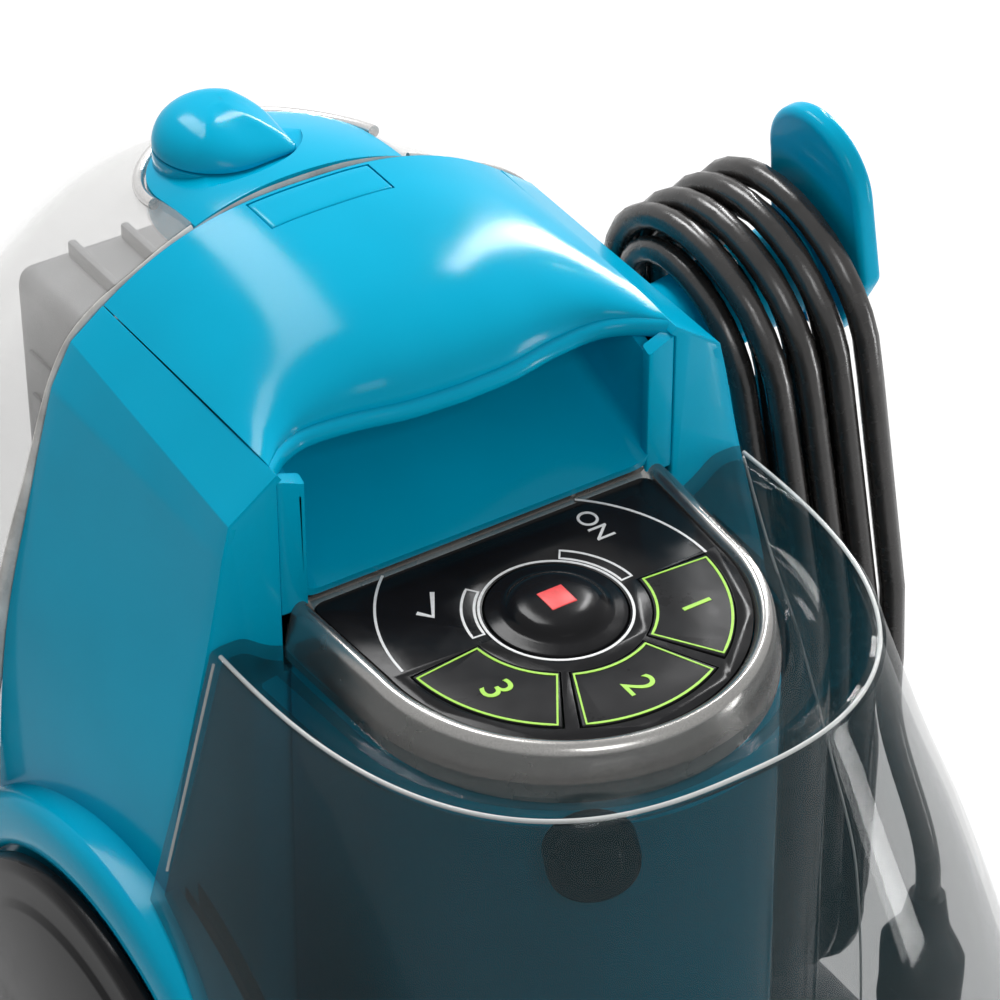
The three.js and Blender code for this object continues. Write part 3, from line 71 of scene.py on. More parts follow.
# Places below are in millimetres, in the frame of the CAD part.
MM = 0.001
PANEL = Vector((0, -45, 280))  # the middle of the control panel's back edge
PANEL_TILT = math.radians(2.4)
PANEL_HALF = 46.3  # half the panel's width at its back edge
RING_DEPTH = 33.5  # from the panel's back edge to the middle of the stop button
RING_RADIUS = 44.5  # of the panel's round front
RING_Y = PANEL.y - RING_DEPTH
DECK_TOP = 56
DECK_RISE = DECK_TOP - PANEL.z  # the deck's height over the panel
SEAT = DECK_TOP + 0.4  # where the pieces that stand on the deck start, just clear of it
SEAT_RISE = SEAT - PANEL.z
HOUSING_FRONT, HOUSING_REAR = -48, 28
SEAM = Vector((53.7, 0, 38.8))  # where the cover meets the side, over the panel
HUB = Vector((-103, -28.5, 130))  # the middle of the black disc's seat
DRUM_RADIUS = 86  # of the round rim that holds the disc
DRUM_GAP = 1.2  # between that rim and the tanks beside it
DRUM_ROOM = (-57, 20.2)  # the room left for it in the tanks, along X from the hub
VALVE = Vector((0, -158, 0))  # under the front tank
OUTLET = Vector((110, -16, 220))  # where the cord leaves its strain relief

AXES = {"x": Vector((1, 0, 0)), "y": Vector((0, 1, 0)), "z": Vector((0, 0, 1))}
MERGE = 0.00001  # metres; points closer than this are one


# ---------------------------------------------------------------- numbers and lines
def mix(a, b, share):
    return a + (b - a) * share


def between(a, b, share):
    """A point on the straight line from a to b."""
    return tuple(mix(p, q, share) for p, q in zip(a, b))


def clamp(value, low=0, high=1):
    return min(max(value, low), high)


def arc(cx, cy, radius, start, end, steps):
    """Points on an arc, in degrees, both ends included."""
    angles = [math.radians(mix(start, end, i / steps)) for i in range(steps + 1)]
    return [(cx + radius * math.cos(a), cy + radius * math.sin(a)) for a in angles]


def flowing(table, at):
    """Reads a table of (x, y) pairs with a smooth curve through them."""
    at = clamp(at, table[0][0], table[-1][0])
    last = len(table) - 1
    i = next(k for k in range(last) if at <= table[k + 1][0])

    def slope(k):
        (x0, y0), (x1, y1) = table[max(k - 1, 0)], table[min(k + 1, last)]
        return (y1 - y0) / (x1 - x0)

    (x0, y0), (x1, y1) = table[i], table[i + 1]
    step = x1 - x0
    t = (at - x0) / step
    return (
        y0 * (2 * t**3 - 3 * t**2 + 1) + y1 * (3 * t**2 - 2 * t**3)
        + step * (slope(i) * (t**3 - 2 * t**2 + t) + slope(i + 1) * (t**3 - t**2))
    )


def along(points, share, straight=0):
    """A point on the smooth line through points; the first ones can be joined by straight lines."""
    place = share * (len(points) - 1)
    i = min(int(place), len(points) - 2)
    t = place - i
    if i < straight:
        return between(points[i], points[i + 1], t)
    before = points[max(i - 1, straight)]
    after = points[min(i + 2, len(points) - 1)]
    return tuple(
        b + 0.5 * t * (c - a + t * (2 * a - 5 * b + 4 * c - d + t * (3 * (b - c) + d - a)))
        for a, b, c, d in zip(before, points[i], points[i + 1], after)
    )


def superellipse(half_width, half_length, power, angle):
    """A point on a rounded rectangle, by its angle in turns."""
    c, s = math.cos(2 * math.pi * angle), math.sin(2 * math.pi * angle)
    return (
        half_width * math.copysign(abs(c) ** (2 / power), c),
        half_length * math.copysign(abs(s) ** (2 / power), s),
    )


def at_height(outline, z):
    return [(x, y, z) for x, y in outline]


# ---------------------------------------------------------------- modelling helpers
def select(*objects):
    """Selects these objects alone and makes the first of them active."""
    bpy.ops.object.select_all(action="DESELECT")
    for obj in objects:
        obj.select_set(True)
    bpy.context.view_layer.objects.active = objects[0]


def added(name, add, **settings):
    """Calls one of Blender's add operators with nothing else selected and names what it adds."""
    bpy.ops.object.select_all(action="DESELECT")
    add(**settings)
    obj = bpy.context.object
    obj.name = name
    return obj


def edit(obj, mode="VERT"):
    """Opens one object in edit mode with everything in it selected."""
    select(obj)
    bpy.ops.object.mode_set(mode="EDIT")
    bpy.ops.mesh.select_mode(type=mode)
    bpy.ops.mesh.select_all(action="SELECT")


def done():
    bpy.ops.object.mode_set(mode="OBJECT")


def edit_faces(obj, chosen):
    """Opens one object in edit mode with only those faces selected that chosen(face) accepts."""
    edit(obj, "FACE")
    bpy.ops.mesh.select_all(action="DESELECT")
    done()
    for face in obj.data.polygons:
        face.select = chosen(face)
    bpy.ops.object.mode_set(mode="EDIT")


def tidy_mesh(obj):
    """Joins points that lie on each other and turns all faces outwards."""
    edit(obj)
    bpy.ops.mesh.remove_doubles(threshold=MERGE)
    bpy.ops.mesh.dissolve_degenerate(threshold=MERGE)
    bpy.ops.mesh.select_all(action="SELECT")
    bpy.ops.mesh.normals_make_consistent(inside=False)
    done()
    return obj


def extruded(obj, move):
    """Makes a solid of a skin by extruding all of it."""
    edit(obj)
    bpy.ops.mesh.extrude_region_move(TRANSFORM_OT_translate={"value": [step * MM for step in move]})
    done()
    return tidy_mesh(obj)


def shaped_grid(name, columns, rows, place, closed=False, ends=False):
    """Adds a grid and moves its points to place(u, v); closed joins its sides, ends fills its open ends."""
    grid = {"x_subdivisions": columns, "y_subdivisions": rows, "size": 2}
    obj = added(name, bpy.ops.mesh.primitive_grid_add, **grid)
    for vertex in obj.data.vertices:
        u, v = (vertex.co.x + 1) / 2, (vertex.co.y + 1) / 2
        vertex.co = Vector(place(u, v)) * MM
    if closed:
        edit(obj)
        bpy.ops.mesh.remove_doubles(threshold=2 * MERGE)
        done()
    if ends:
        edit(obj)
        bpy.ops.mesh.fill_holes(sides=0)
        done()
    return tidy_mesh(obj)


def ring_surface(name, rings, ends=False):
    """A skin through closed rings that have the same number of points."""
    count, levels = len(rings[0]), len(rings) - 1

    def place(u, v):
        return rings[round(v * levels)][round(u * count) % count]

    return shaped_grid(name, count, levels, place, closed=True, ends=ends)


def plate(name, outline, axis, low, high):
    """Extrudes a flat outline, which is a circle whose points are moved, along an axis."""
    circle = {"vertices": len(outline), "radius": 1, "fill_type": "NGON"}
    obj = added(name, bpy.ops.mesh.primitive_circle_add, **circle)
    for vertex, (u, v) in zip(obj.data.vertices, outline):
        flat = {"x": (low, u, v), "y": (u, low, v), "z": (u, v, low)}[axis]
        vertex.co = Vector(flat) * MM
    return extruded(obj, AXES[axis] * (high - low))


def turned(name, profile, centre, axis="z", steps=72):
    """Spins a profile of (radius, height) points round an axis through centre."""
    circle = {"vertices": len(profile), "radius": 1, "fill_type": "NOTHING"}
    obj = added(name, bpy.ops.mesh.primitive_circle_add, **circle)
    centre = Vector(centre)
    for vertex, (radius, height) in zip(obj.data.vertices, profile):
        out = {"x": (height, radius, 0), "y": (radius, height, 0), "z": (radius, 0, height)}[axis]
        vertex.co = (centre + Vector(out)) * MM
    edit(obj)
    bpy.ops.mesh.spin(steps=steps, angle=2 * math.pi, center=tuple(centre * MM), axis=tuple(AXES[axis]))
    done()
    return tidy_mesh(obj)


def rod(name, radius, low, high, centre, axis="z", steps=72):
    """A plain cylinder from one height to another on an axis through centre."""
    return turned(name, [(0, low), (radius, low), (radius, high), (0, high)], centre, axis, steps)


def block(name, low, high):
    """Adds a cube that fills the box between two corners."""
    obj = added(name, bpy.ops.mesh.primitive_cube_add, size=2)
    low, high = Vector(low), Vector(high)
    for vertex in obj.data.vertices:
        share = (vertex.co + Vector((1, 1, 1))) / 2
        vertex.co = Vector([mix(a, b, s) for a, b, s in zip(low, high, share)]) * MM
    return obj


def round_line(name, path, radius, roundness):
    """A curve of straight runs through the points of a path, as thick as a round bar."""
    line = added(name, bpy.ops.curve.primitive_nurbs_path_add)
    curve = line.data
    curve.splines.clear()
    spline = curve.splines.new("POLY")
    spline.points.add(len(path) - 1)
    for point, place in zip(spline.points, path):
        point.co = (*(Vector(place) * MM), 1)
    curve.dimensions = "3D"
    curve.bevel_depth = radius * MM
    curve.bevel_resolution = roundness
    curve.use_fill_caps = True
    return line


def bead(name, path, radius):
    """A round bead along a path, as a mesh."""
    round_line(name, path, radius, 4)
    bpy.ops.object.convert(target="MESH")
    return tidy_mesh(bpy.context.object)


def apply_modifier(obj, kind, **settings):
    """Adds a modifier with these settings and applies it."""
    select(obj)
    modifier = obj.modifiers.new(kind.title(), kind)
    for key, value in settings.items():
        setattr(modifier, key, value)
    bpy.ops.object.modifier_apply(modifier=modifier.name)
    return obj


def rounded(obj, width, segments=3, angle=30):
    """Rounds the edges that are sharper than an angle."""
    settings = {"segments": segments, "limit_method": "ANGLE", "angle_limit": math.radians(angle)}
    return apply_modifier(obj, "BEVEL", width=width * MM, **settings)


def walled(obj, thickness):
    """Gives an open skin its wall, on its inner side."""
    return apply_modifier(obj, "SOLIDIFY", thickness=thickness * MM, offset=-1, use_even_offset=True)


def combined(obj, other, operation="DIFFERENCE"):
    """Cuts, joins or intersects a solid with another one, which is then removed."""
    apply_modifier(obj, "BOOLEAN", object=other, operation=operation, solver="EXACT")
    bpy.data.objects.remove(other)
    return tidy_mesh(obj)


def joined(obj, *others):
    """Puts several solids into one object."""
    select(obj, *others)
    bpy.ops.object.join()
    return obj


def copied(obj, name):
    """Copies an object with its own mesh."""
    twin = obj.copy()
    twin.data = obj.data.copy()
    twin.name = name
    bpy.context.scene.collection.objects.link(twin)
    return twin


def mirrored(obj, name):
    """Copies an object to the machine's other side."""
    twin = copied(obj, name)
    twin.data.transform(Matrix.Scale(-1, 4, (1, 0, 0)))
    return tidy_mesh(twin)


def cad_copy(node):
    """Copies a CAD node, merges its triangles and takes the sharpness off its edges."""
    twin = copied(frame["nodes"][node], f"{node}_shape")
    twin.parent = None
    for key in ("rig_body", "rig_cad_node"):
        if key in twin:
            del twin[key]
    edit(twin)
    bpy.ops.mesh.remove_doubles(threshold=MERGE)
    bpy.ops.mesh.dissolve_limited(angle_limit=math.radians(2))
    done()
    return rounded(twin, 0.3, 2, 40)


# ---------------------------------------------------------------- what a user would change
class ExtractorSizes(bpy.types.PropertyGroup):
    wall: bpy.props.FloatProperty(
        name="Wall", description="Moulded wall", subtype="DISTANCE", default=2.2 * MM, min=1 * MM)
    tank_wall: bpy.props.FloatProperty(
        name="Tank wall", description="Clear tank wall", subtype="DISTANCE", default=2.2 * MM, min=1 * MM)
    edge: bpy.props.FloatProperty(
        name="Edge radius", description="Rounding of moulded edges", subtype="DISTANCE",
        default=1.1 * MM, min=0.2 * MM)
    crown: bpy.props.FloatProperty(
        name="Cover crown", description="Rise of the top cover's middle", subtype="DISTANCE",
        default=19 * MM, min=0)
    lip: bpy.props.FloatProperty(
        name="Grip lip", description="Radius of the cover's rolled lip", subtype="DISTANCE",
        default=2.4 * MM, min=1 * MM)
    knob_height: bpy.props.FloatProperty(
        name="Knob height", description="Height of the cap's knob", subtype="DISTANCE",
        default=9 * MM, min=4 * MM)
    key_height: bpy.props.FloatProperty(
        name="Key height", description="How far the keys stand proud", subtype="DISTANCE", default=0.25 * MM)
    line: bpy.props.FloatProperty(
        name="Line width", description="Width of the printed panel lines", subtype="DISTANCE",
        default=0.62 * MM)
    cord_diameter: bpy.props.FloatProperty(
        name="Cord diameter", description="Mains cord", subtype="DISTANCE", default=6.8 * MM, min=4 * MM)


class ExtractorColours(bpy.types.PropertyGroup):
    teal: bpy.props.FloatVectorProperty(
        name="Shell", description="Moulded housing", subtype="COLOR", size=3, default=(0.0, 0.35, 0.55))
    black: bpy.props.FloatVectorProperty(
        name="Panel", description="Gloss panel, keys and hub", subtype="COLOR", size=3,
        default=(0.009, 0.009, 0.01))
    charcoal: bpy.props.FloatVectorProperty(
        name="Base", description="Base pan and deck", subtype="COLOR", size=3, default=(0.03, 0.032, 0.036))
    silver: bpy.props.FloatVectorProperty(
        name="Bezel", description="Silver trim round the panel", subtype="COLOR", size=3,
        default=(0.3, 0.295, 0.285))
    smoke: bpy.props.FloatVectorProperty(
        name="Tank tint", description="Tint of the clear rear tank", subtype="COLOR", size=3,
        default=(0.60, 0.59, 0.575))
    cord: bpy.props.FloatVectorProperty(
        name="Cord", description="Mains cord sheath", subtype="COLOR", size=3, default=(0.022, 0.02, 0.019))
    mark_red: bpy.props.FloatVectorProperty(
        name="Stop mark", description="Mark on the stop button", subtype="COLOR", size=3,
        default=(0.85, 0.06, 0.06))
    mark_green: bpy.props.FloatVectorProperty(
        name="Key marks", description="Outlines and numbers of the keys", subtype="COLOR", size=3,
        default=(0.33, 0.66, 0.03))
    mark_white: bpy.props.FloatVectorProperty(
        name="Line marks", description="White lines and lamps", subtype="COLOR", size=3,
        default=(0.8, 0.8, 0.8))


# ---------------------------------------------------------------- finishes
class Skin:
    """A material in the making: its nodes, its shader and the place on the object."""

    noise_span = (0.3, 0.7)  # nearly all of a noise lies between these

    def __init__(self, name, colour, roughness, metallic=0.0):
        self.material = bpy.data.materials.new(name)
        self.material.use_nodes = True
        self.nodes, self.link = self.material.node_tree.nodes, self.material.node_tree.links.new
        self.shader = self.nodes["Principled BSDF"]
        self.colour = colour
        self.set("Base Color", (*colour, 1))
        self.set("Roughness", roughness)
        self.set("Metallic", metallic)
        self.place = self.nodes.new("ShaderNodeTexCoord").outputs["Object"]

    def set(self, socket, value):
        self.shader.inputs[socket].default_value = value

    def noise(self, scale, detail=3.0, roughness=0.5, place=None):
        node = self.nodes.new("ShaderNodeTexNoise")
        for key, number in (("Scale", scale), ("Detail", detail), ("Roughness", roughness)):
            node.inputs[key].default_value = number
        self.link(place or self.place, node.inputs["Vector"])
        return node.outputs["Fac"]

    def drift_colour(self, value, shift):
        """Lets the colour drift a little between a darker and a lighter shade."""
        ramp = self.nodes.new("ShaderNodeValToRGB")
        for step, position, factor in zip(ramp.color_ramp.elements, self.noise_span, (1 - shift, 1 + shift)):
            step.position = position
            step.color = (*[min(part * factor, 1) for part in self.colour], 1)
        self.link(value, ramp.inputs["Fac"])
        self.link(ramp.outputs["Color"], self.shader.inputs["Base Color"])

    def drift_shine(self, value, low, high):
        """Lets the roughness drift between two values."""
        node = self.nodes.new("ShaderNodeMapRange")
        start, end = self.noise_span
        for key, number in (("From Min", start), ("From Max", end), ("To Min", low), ("To Max", high)):
            node.inputs[key].default_value = number
        self.link(value, node.inputs["Value"])
        self.link(node.outputs["Result"], self.shader.inputs["Roughness"])

    def bump(self, value, strength, distance):
        node = self.nodes.new("ShaderNodeBump")
        node.inputs["Strength"].default_value = strength
        node.inputs["Distance"].default_value = distance
        self.link(value, node.inputs["Height"])
        self.link(node.outputs["Normal"], self.shader.inputs["Normal"])


def gloss_shell(name, colour):
    """Glossy moulded plastic: a faint flow in the colour and a polished, very slightly wavy skin."""
    skin = Skin(name, colour, 0.17)
    skin.drift_colour(skin.noise(22, 2), 0.05)
    skin.drift_shine(skin.noise(60, 4), 0.11, 0.17)
    skin.bump(skin.noise(900, 2), 0.06, 0.0002)
    skin.set("Specular IOR Level", 0.07)
    return skin.material


def grained_plastic(name, colour, roughness=0.5, grain=1400):
    """Matt moulded plastic with a fine spark-eroded grain."""
    skin = Skin(name, colour, roughness)
    skin.drift_colour(skin.noise(40), 0.12)
    skin.drift_shine(skin.noise(90, 4), roughness - 0.06, roughness + 0.08)
    skin.bump(skin.noise(grain, 4, 0.7), 0.3, 0.0004)
    return skin.material


def black_gloss(name, colour, roughness=0.16):
    """Black gloss plastic with faint rub marks in its shine."""
    skin = Skin(name, colour, roughness)
    skin.drift_colour(skin.noise(30), 0.2)
    skin.drift_shine(skin.noise(120, 5, 0.7), roughness - 0.05, roughness + 0.09)
    skin.bump(skin.noise(700, 2), 0.04, 0.0002)
    skin.set("Specular IOR Level", 0.1)
    return skin.material


def silver_trim(name, colour):
    """Satin silver-lacquered trim with a metallic fleck."""
    skin = Skin(name, colour, 0.24, 0.85)
    skin.drift_colour(skin.noise(2600, 2), 0.1)
    skin.drift_shine(skin.noise(80), 0.18, 0.3)
    skin.bump(skin.noise(1800, 2), 0.05, 0.0002)
    return skin.material


def clear_plastic(name, tint, share, roughness=0.03):
    """Tinted clear plastic, moulded slightly wavy; share is how much it hides of what lies behind it."""
    skin = Skin(name, tint, roughness)
    skin.drift_colour(skin.noise(14, 2), 0.03)
    skin.drift_shine(skin.noise(70, 4), roughness, roughness + 0.05)
    skin.bump(skin.noise(35, 2), 0.05, 0.002)
    for socket, value in (
        ("Alpha", share), ("Specular IOR Level", 0.1), ("Coat Weight", 0.45), ("Coat Roughness", 0.03),
    ):
        skin.set(socket, value)
    return skin.material


def rubber(name, colour, roughness):
    """Flexible sheath, seal or foot: soft sheen with a fine drawn texture."""
    skin = Skin(name, colour, roughness)
    skin.drift_colour(skin.noise(130, 4), 0.25)
    skin.drift_shine(skin.noise(300, 4), roughness - 0.08, roughness + 0.1)
    skin.bump(skin.noise(2200), 0.12, 0.0003)
    return skin.material


def bare_metal(name, colour):
    """Bright metal with a drawn grain."""
    skin = Skin(name, colour, 0.3, 1.0)
    stretch = skin.nodes.new("ShaderNodeMapping")
    stretch.inputs["Scale"].default_value = (1, 1, 14)
    skin.link(skin.place, stretch.inputs["Vector"])
    skin.drift_shine(skin.noise(160, place=stretch.outputs["Vector"]), 0.22, 0.42)
    skin.drift_colour(skin.noise(60), 0.08)
    return skin.material


def circuit_board(name, colour):
    """Green board with a faint pattern of tracks."""
    skin = Skin(name, colour, 0.45)
    tracks = skin.nodes.new("ShaderNodeTexVoronoi")
    tracks.distance = "CHEBYCHEV"
    tracks.inputs["Scale"].default_value = 260
    skin.link(skin.place, tracks.inputs["Vector"])
    skin.drift_colour(tracks.outputs["Distance"], 0.35)
    return skin.material


def printed(name, colour):
    """Screen-printed ink, a little uneven."""
    skin = Skin(name, colour, 0.4)
    skin.drift_colour(skin.noise(900), 0.08)
    return skin.material


def picked(name, shade=1.0):
    """One of the colours that a user can change, made darker or lighter by a factor."""
    return [shade * part for part in getattr(bpy.context.scene.extractor_colours, name)]


LOOKS = {  # name: the slot it goes in, and how its material is made
    "teal": ("teal_shell", lambda key: gloss_shell(key, picked("teal"))),
    # A darker copy of the teal for the pedestal: painted shade on it inside the front tank.
    "deep_teal": ("teal_shell", lambda key: gloss_shell(key, picked("teal", 0.95))),
    "black": ("black_gloss", lambda key: black_gloss(key, picked("black"))),
    "key_black": ("black_gloss", lambda key: black_gloss(key, picked("black"), 0.3)),
    "brass": ("black_gloss", lambda key: bare_metal(key, (0.62, 0.5, 0.27))),
    "red": ("black_gloss", lambda key: printed(key, picked("mark_red"))),
    "green": ("black_gloss", lambda key: printed(key, picked("mark_green"))),
    "white": ("black_gloss", lambda key: printed(key, picked("mark_white"))),
    "silver": ("silver_trim", lambda key: silver_trim(key, picked("silver"))),
    "charcoal": ("charcoal", lambda key: grained_plastic(key, picked("charcoal"))),
    "grey": ("grey_plastic", lambda key: grained_plastic(key, (0.22, 0.225, 0.23), 0.42)),
    "smoke": ("smoke_clear", lambda key: clear_plastic(key, (0.012, 0.035, 0.042), 0.26)),
    "smoke_light": ("smoke_clear", lambda key: clear_plastic(key, picked("smoke", 1.1), 0.2)),
    # Light, nearly opaque clear plastic for the tank's beads: painted highlight lines.
    "bead": ("smoke_clear", lambda key: clear_plastic(key, (0.75, 0.77, 0.76), 0.7)),
    # Silver finish for the bead round the cap on the clear dome: a painted highlight.
    "rim": ("smoke_clear", lambda key: silver_trim(key, (0.6, 0.59, 0.58))),
    "cord": ("cord_rubber", lambda key: rubber(key, picked("cord"), 0.22)),
    "sleeve": ("cord_rubber", lambda key: rubber(key, (0.02, 0.02, 0.02), 0.6)),
    "rubber": ("soft_rubber", lambda key: rubber(key, (0.02, 0.02, 0.02), 0.6)),
    "seal": ("soft_rubber", lambda key: rubber(key, (0.5, 0.49, 0.47), 0.3)),
    "bristle": ("soft_rubber", lambda key: grained_plastic(key, (0.02, 0.16, 0.26), 0.55, 900)),
    "steel": ("motor_steel", lambda key: bare_metal(key, (0.55, 0.56, 0.58))),
    "board": ("board_green", lambda key: circuit_board(key, (0.01, 0.09, 0.04))),
}


def seated(obj, body, look, nodes=()):
    """Gives a piece its finish and seats it on the body it moves with."""
    slot, make = LOOKS[look]
    key = f"extractor_{look}"
    obj.data.materials.clear()
    obj.data.materials.append(bpy.data.materials[key] if key in bpy.data.materials else make(key))
    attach(obj, body)
    if nodes:
        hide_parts(*nodes)
    return obj


def finished(obj, body, look, nodes=(), smooth=35):
    """Shades a modelled piece smooth up to an angle and seats it."""
    select(obj)
    bpy.ops.object.shade_smooth_by_angle(angle=math.radians(smooth))
    return seated(obj, body, look, nodes)


# ---------------------------------------------------------------- shapes shared by several pieces
# The housing's side from the seam down to the deck: (x, height over the panel), at its front and at its rear.
SIDE_FRONT = [
    (53.7, 38.8), (66.4, 29.7), (68.4, 21.5), (72.9, 0), (82.2, -39), (90, -84), (92, -120),
    (92, SEAT_RISE),
]
SIDE_REAR = [
    (55.1, 42.3), (64, 35.6), (69.8, 25), (76.8, 0), (86.8, -39), (92, -84), (93, -120),
    (93, SEAT_RISE),
]
SIDE_FOLDS = 2  # its first stretches are flat, with a fold between them
LIP_LINE = [(0, 3.5), (14, 4.4), (28, 7), (40, 7.2), (47, 4.2), (51, 0.8), (54, -2.2)]  # x, behind the panel
COVER_FLARE = 1.4  # the cover is wider at its rear, on each side
COVER_LIFT = 3.5  # its rear corners stand higher than its front ones
LIP_DIP = 0.8  # the middle of its lip hangs lower than the crown would have it
COVER_POWER = 2.6  # how square its cross-section is


def side_point(share, depth):
    """The housing's side: share runs down it from the seam, depth from its front to its rear."""
    front, rear = along(SIDE_FRONT, share, SIDE_FOLDS), along(SIDE_REAR, share, SIDE_FOLDS)
    x, rise = between(front, rear, depth)
    return Vector((x, mix(HOUSING_FRONT, HOUSING_REAR, depth), PANEL.z + rise))


def cover_point(across, back, crown):
    """The top cover's skin: across is -1 to 1, back is 0 at the lip and 1 at the rear."""
    x = across * (SEAM.x - 0.3 + COVER_FLARE * back)
    y = mix(PANEL.y + flowing(LIP_LINE, abs(x)), HOUSING_REAR, back)
    middle = crown * (1 - max(1 - back, 0) ** 1.8) - COVER_LIFT * back - LIP_DIP * (1 - back)
    rise = COVER_LIFT * back + middle * (1 - abs(across) ** COVER_POWER)
    return Vector((x, y, PANEL.z + SEAM.z + rise))


def d_outline(grow, back, corner, centre, steps=64):
    """The panel's D, grown all round: a half circle to the front and two straight sides that run back."""
    half = PANEL_HALF + grow
    return (
        arc(0, centre, RING_RADIUS + grow, 180, 360, steps)
        + arc(half - corner, back - corner, corner, 0, 90, 6)
        + arc(-half + corner, back - corner, corner, 90, 180, 6)
    )


def on_panel(obj):
    """Seats a piece drawn flat round the middle of the panel's back edge on the tilted panel."""
    obj.data.transform(Matrix.Translation(PANEL * MM) @ Matrix.Rotation(PANEL_TILT, 4, "X"))
    return obj


def sector(inner, outer, start, end, steps=20):
    """A slice of the ring round the stop button."""
    return arc(0, -RING_DEPTH, outer, start, end, steps) + arc(0, -RING_DEPTH, inner, end, start, steps)


INK = 0.12  # how thick the printed marks are


def ribbon(name, points, width, height=0, closed=False):
    """A thin printed line along points on the panel."""
    points = [Vector((x, y, 0)) for x, y in points]
    if closed:
        points.append(points[0])
    count = len(points) - 1

    def place(u, v):
        i = round(u * count)
        before, after = points[max(i - 1, 0)], points[min(i + 1, count)]
        if closed and i in (0, count):
            before, after = points[count - 1], points[1]
        across = Vector((0, 0, 0))
        for run in (points[i] - before, after - points[i]):
            if run.length > 1e-9:
                across += Vector((-run.y, run.x, 0)).normalized()
        across.normalize()
        return points[i] + across * (v - 0.5) * width + Vector((0, 0, height + INK))

    return extruded(shaped_grid(name, count, 1, place, closed=closed), (0, 0, -INK))


# ---------------------------------------------------------------- the pieces
class PieceOperator(bpy.types.Operator):
    """Base of the operators that model one group of pieces"""

    bl_options = {"REGISTER", "UNDO"}

    def size(self, name):
        """One of the sizes that a user can change, in millimetres."""
        return getattr(bpy.context.scene.extractor_sizes, name) / MM


class OBJECT_OT_extractor_cover(PieceOperator):
    """Top cover with its rolled grip lip and the latch tab let into its rear"""

    bl_idname = "object.extractor_cover"
    bl_label = "Top cover and tab"

    rolled = 0.16  # share of the skin's rows that form the rolled lip
    tab_low, tab_high, tab_gap = (-16.5, 15.3), (16.5, 26.8), 0.3

    def skin(self, name):
        crown, lip = self.size("crown"), self.size("lip")

        def place(u, v):
            across = 2 * u - 1
            edge = cover_point(across, 0, crown)
            if v <= self.rolled:
                turn = math.pi * (1 - v / self.rolled)
                return edge + Vector((0, lip - lip * math.sin(turn), lip * math.cos(turn) - lip))
            back = (v - self.rolled) / (1 - self.rolled)
            point = cover_point(across, back, crown)
            if back < 1:
                point.y = mix(edge.y + lip, point.y, back)
            return point

        return shaped_grid(name, 64, 44, place)

    def tab_block(self, name, grow):
        """A tall block over the tab's outline."""
        (x0, y0), (x1, y1) = self.tab_low, self.tab_high
        return block(name, (x0 - grow, y0 - grow, PANEL.z + 20), (x1 + grow, y1 + grow, PANEL.z + 80))

    def execute(self, context):
        cover = rounded(walled(self.skin("cover_shell"), 2), 0.6, 2, 50)
        combined(cover, self.tab_block("tab_room", self.tab_gap))
        finished(cover, "machine", "teal", ["top_cover"])
        tab = walled(self.skin("tab_plate"), 2.6)
        combined(tab, self.tab_block("tab_shape", 0), "INTERSECT")
        finished(rounded(tab, 0.5, 3), "latch", "teal", ["latch_tab"])
        return {"FINISHED"}


class OBJECT_OT_extractor_sides(PieceOperator):
    """Side panels with their folded cheeks and front webs, the cord's arm and the hub's drum"""

    bl_idname = "object.extractor_sides"
    bl_label = "Side panels"

    def shell(self):
        skin = shaped_grid("side_right", 70, 16, side_point)
        return rounded(walled(skin, self.size("wall")), self.size("edge"), 4, 20)

    def web(self):
        """The narrow front of a side panel, from its edge in to the pedestal."""
        inner, sill = 40, PANEL.z - 16
        edge = [side_point(i / 40, 0) for i in range(2, 41)]
        outline = [(SEAM.x, PANEL.z + SEAM.z - 0.6)] + [(point.x - 0.3, point.z - 0.2) for point in edge]
        outline += [(inner, SEAT), (inner, sill), (SEAM.x, sill)]
        return rounded(plate("web", outline, "y", HOUSING_FRONT + 0.01, HOUSING_FRONT + 2.6), 0.4, 2)

    def outlet_arm(self):
        """The arm that the cord's strain relief hangs from."""
        rises = [(80, 24), (120, 24), (120, 34), (112, 40), (80, 40)]
        outline = [(x, OUTLET.z + rise) for x, rise in rises]
        arm = plate("outlet", outline, "y", OUTLET.y - 12, OUTLET.y + 12)
        combined(arm, rod("outlet_hole", 5.6, 23, 34, OUTLET, steps=40))
        return rounded(arm, 1.2, 3)

    def drum(self):
        """The round rim that holds the hub cover, with its floor, both cut off at the deck."""
        outer = DRUM_RADIUS
        rim = [
            (72.1, 19), (outer, 19), (outer, 8), (85.6, 6.4), (84.6, 5.2), (82.5, 4.2), (78, 3.7),
            (75.4, 3.8), (73.4, 4.6), (72.1, 6.4),
        ]
        parts = [turned("drum", rim, HUB, "x", 128), rod("drum_floor", outer - 1, 9, 13, HUB, "x", 96)]
        for part in parts:
            combined(part, block("deck_cut", (-200, -200, 0), (0, 200, DECK_TOP + 0.3)))
        return parts

    def execute(self, context):
        right = joined(self.shell(), self.web())
        left = mirrored(right, "side_left")
        joined(right, self.outlet_arm())
        joined(left, *self.drum())
        finished(right, "machine", "teal", ["right_side_panel"])
        finished(left, "machine", "teal", ["left_side_panel"])
        return {"FINISHED"}


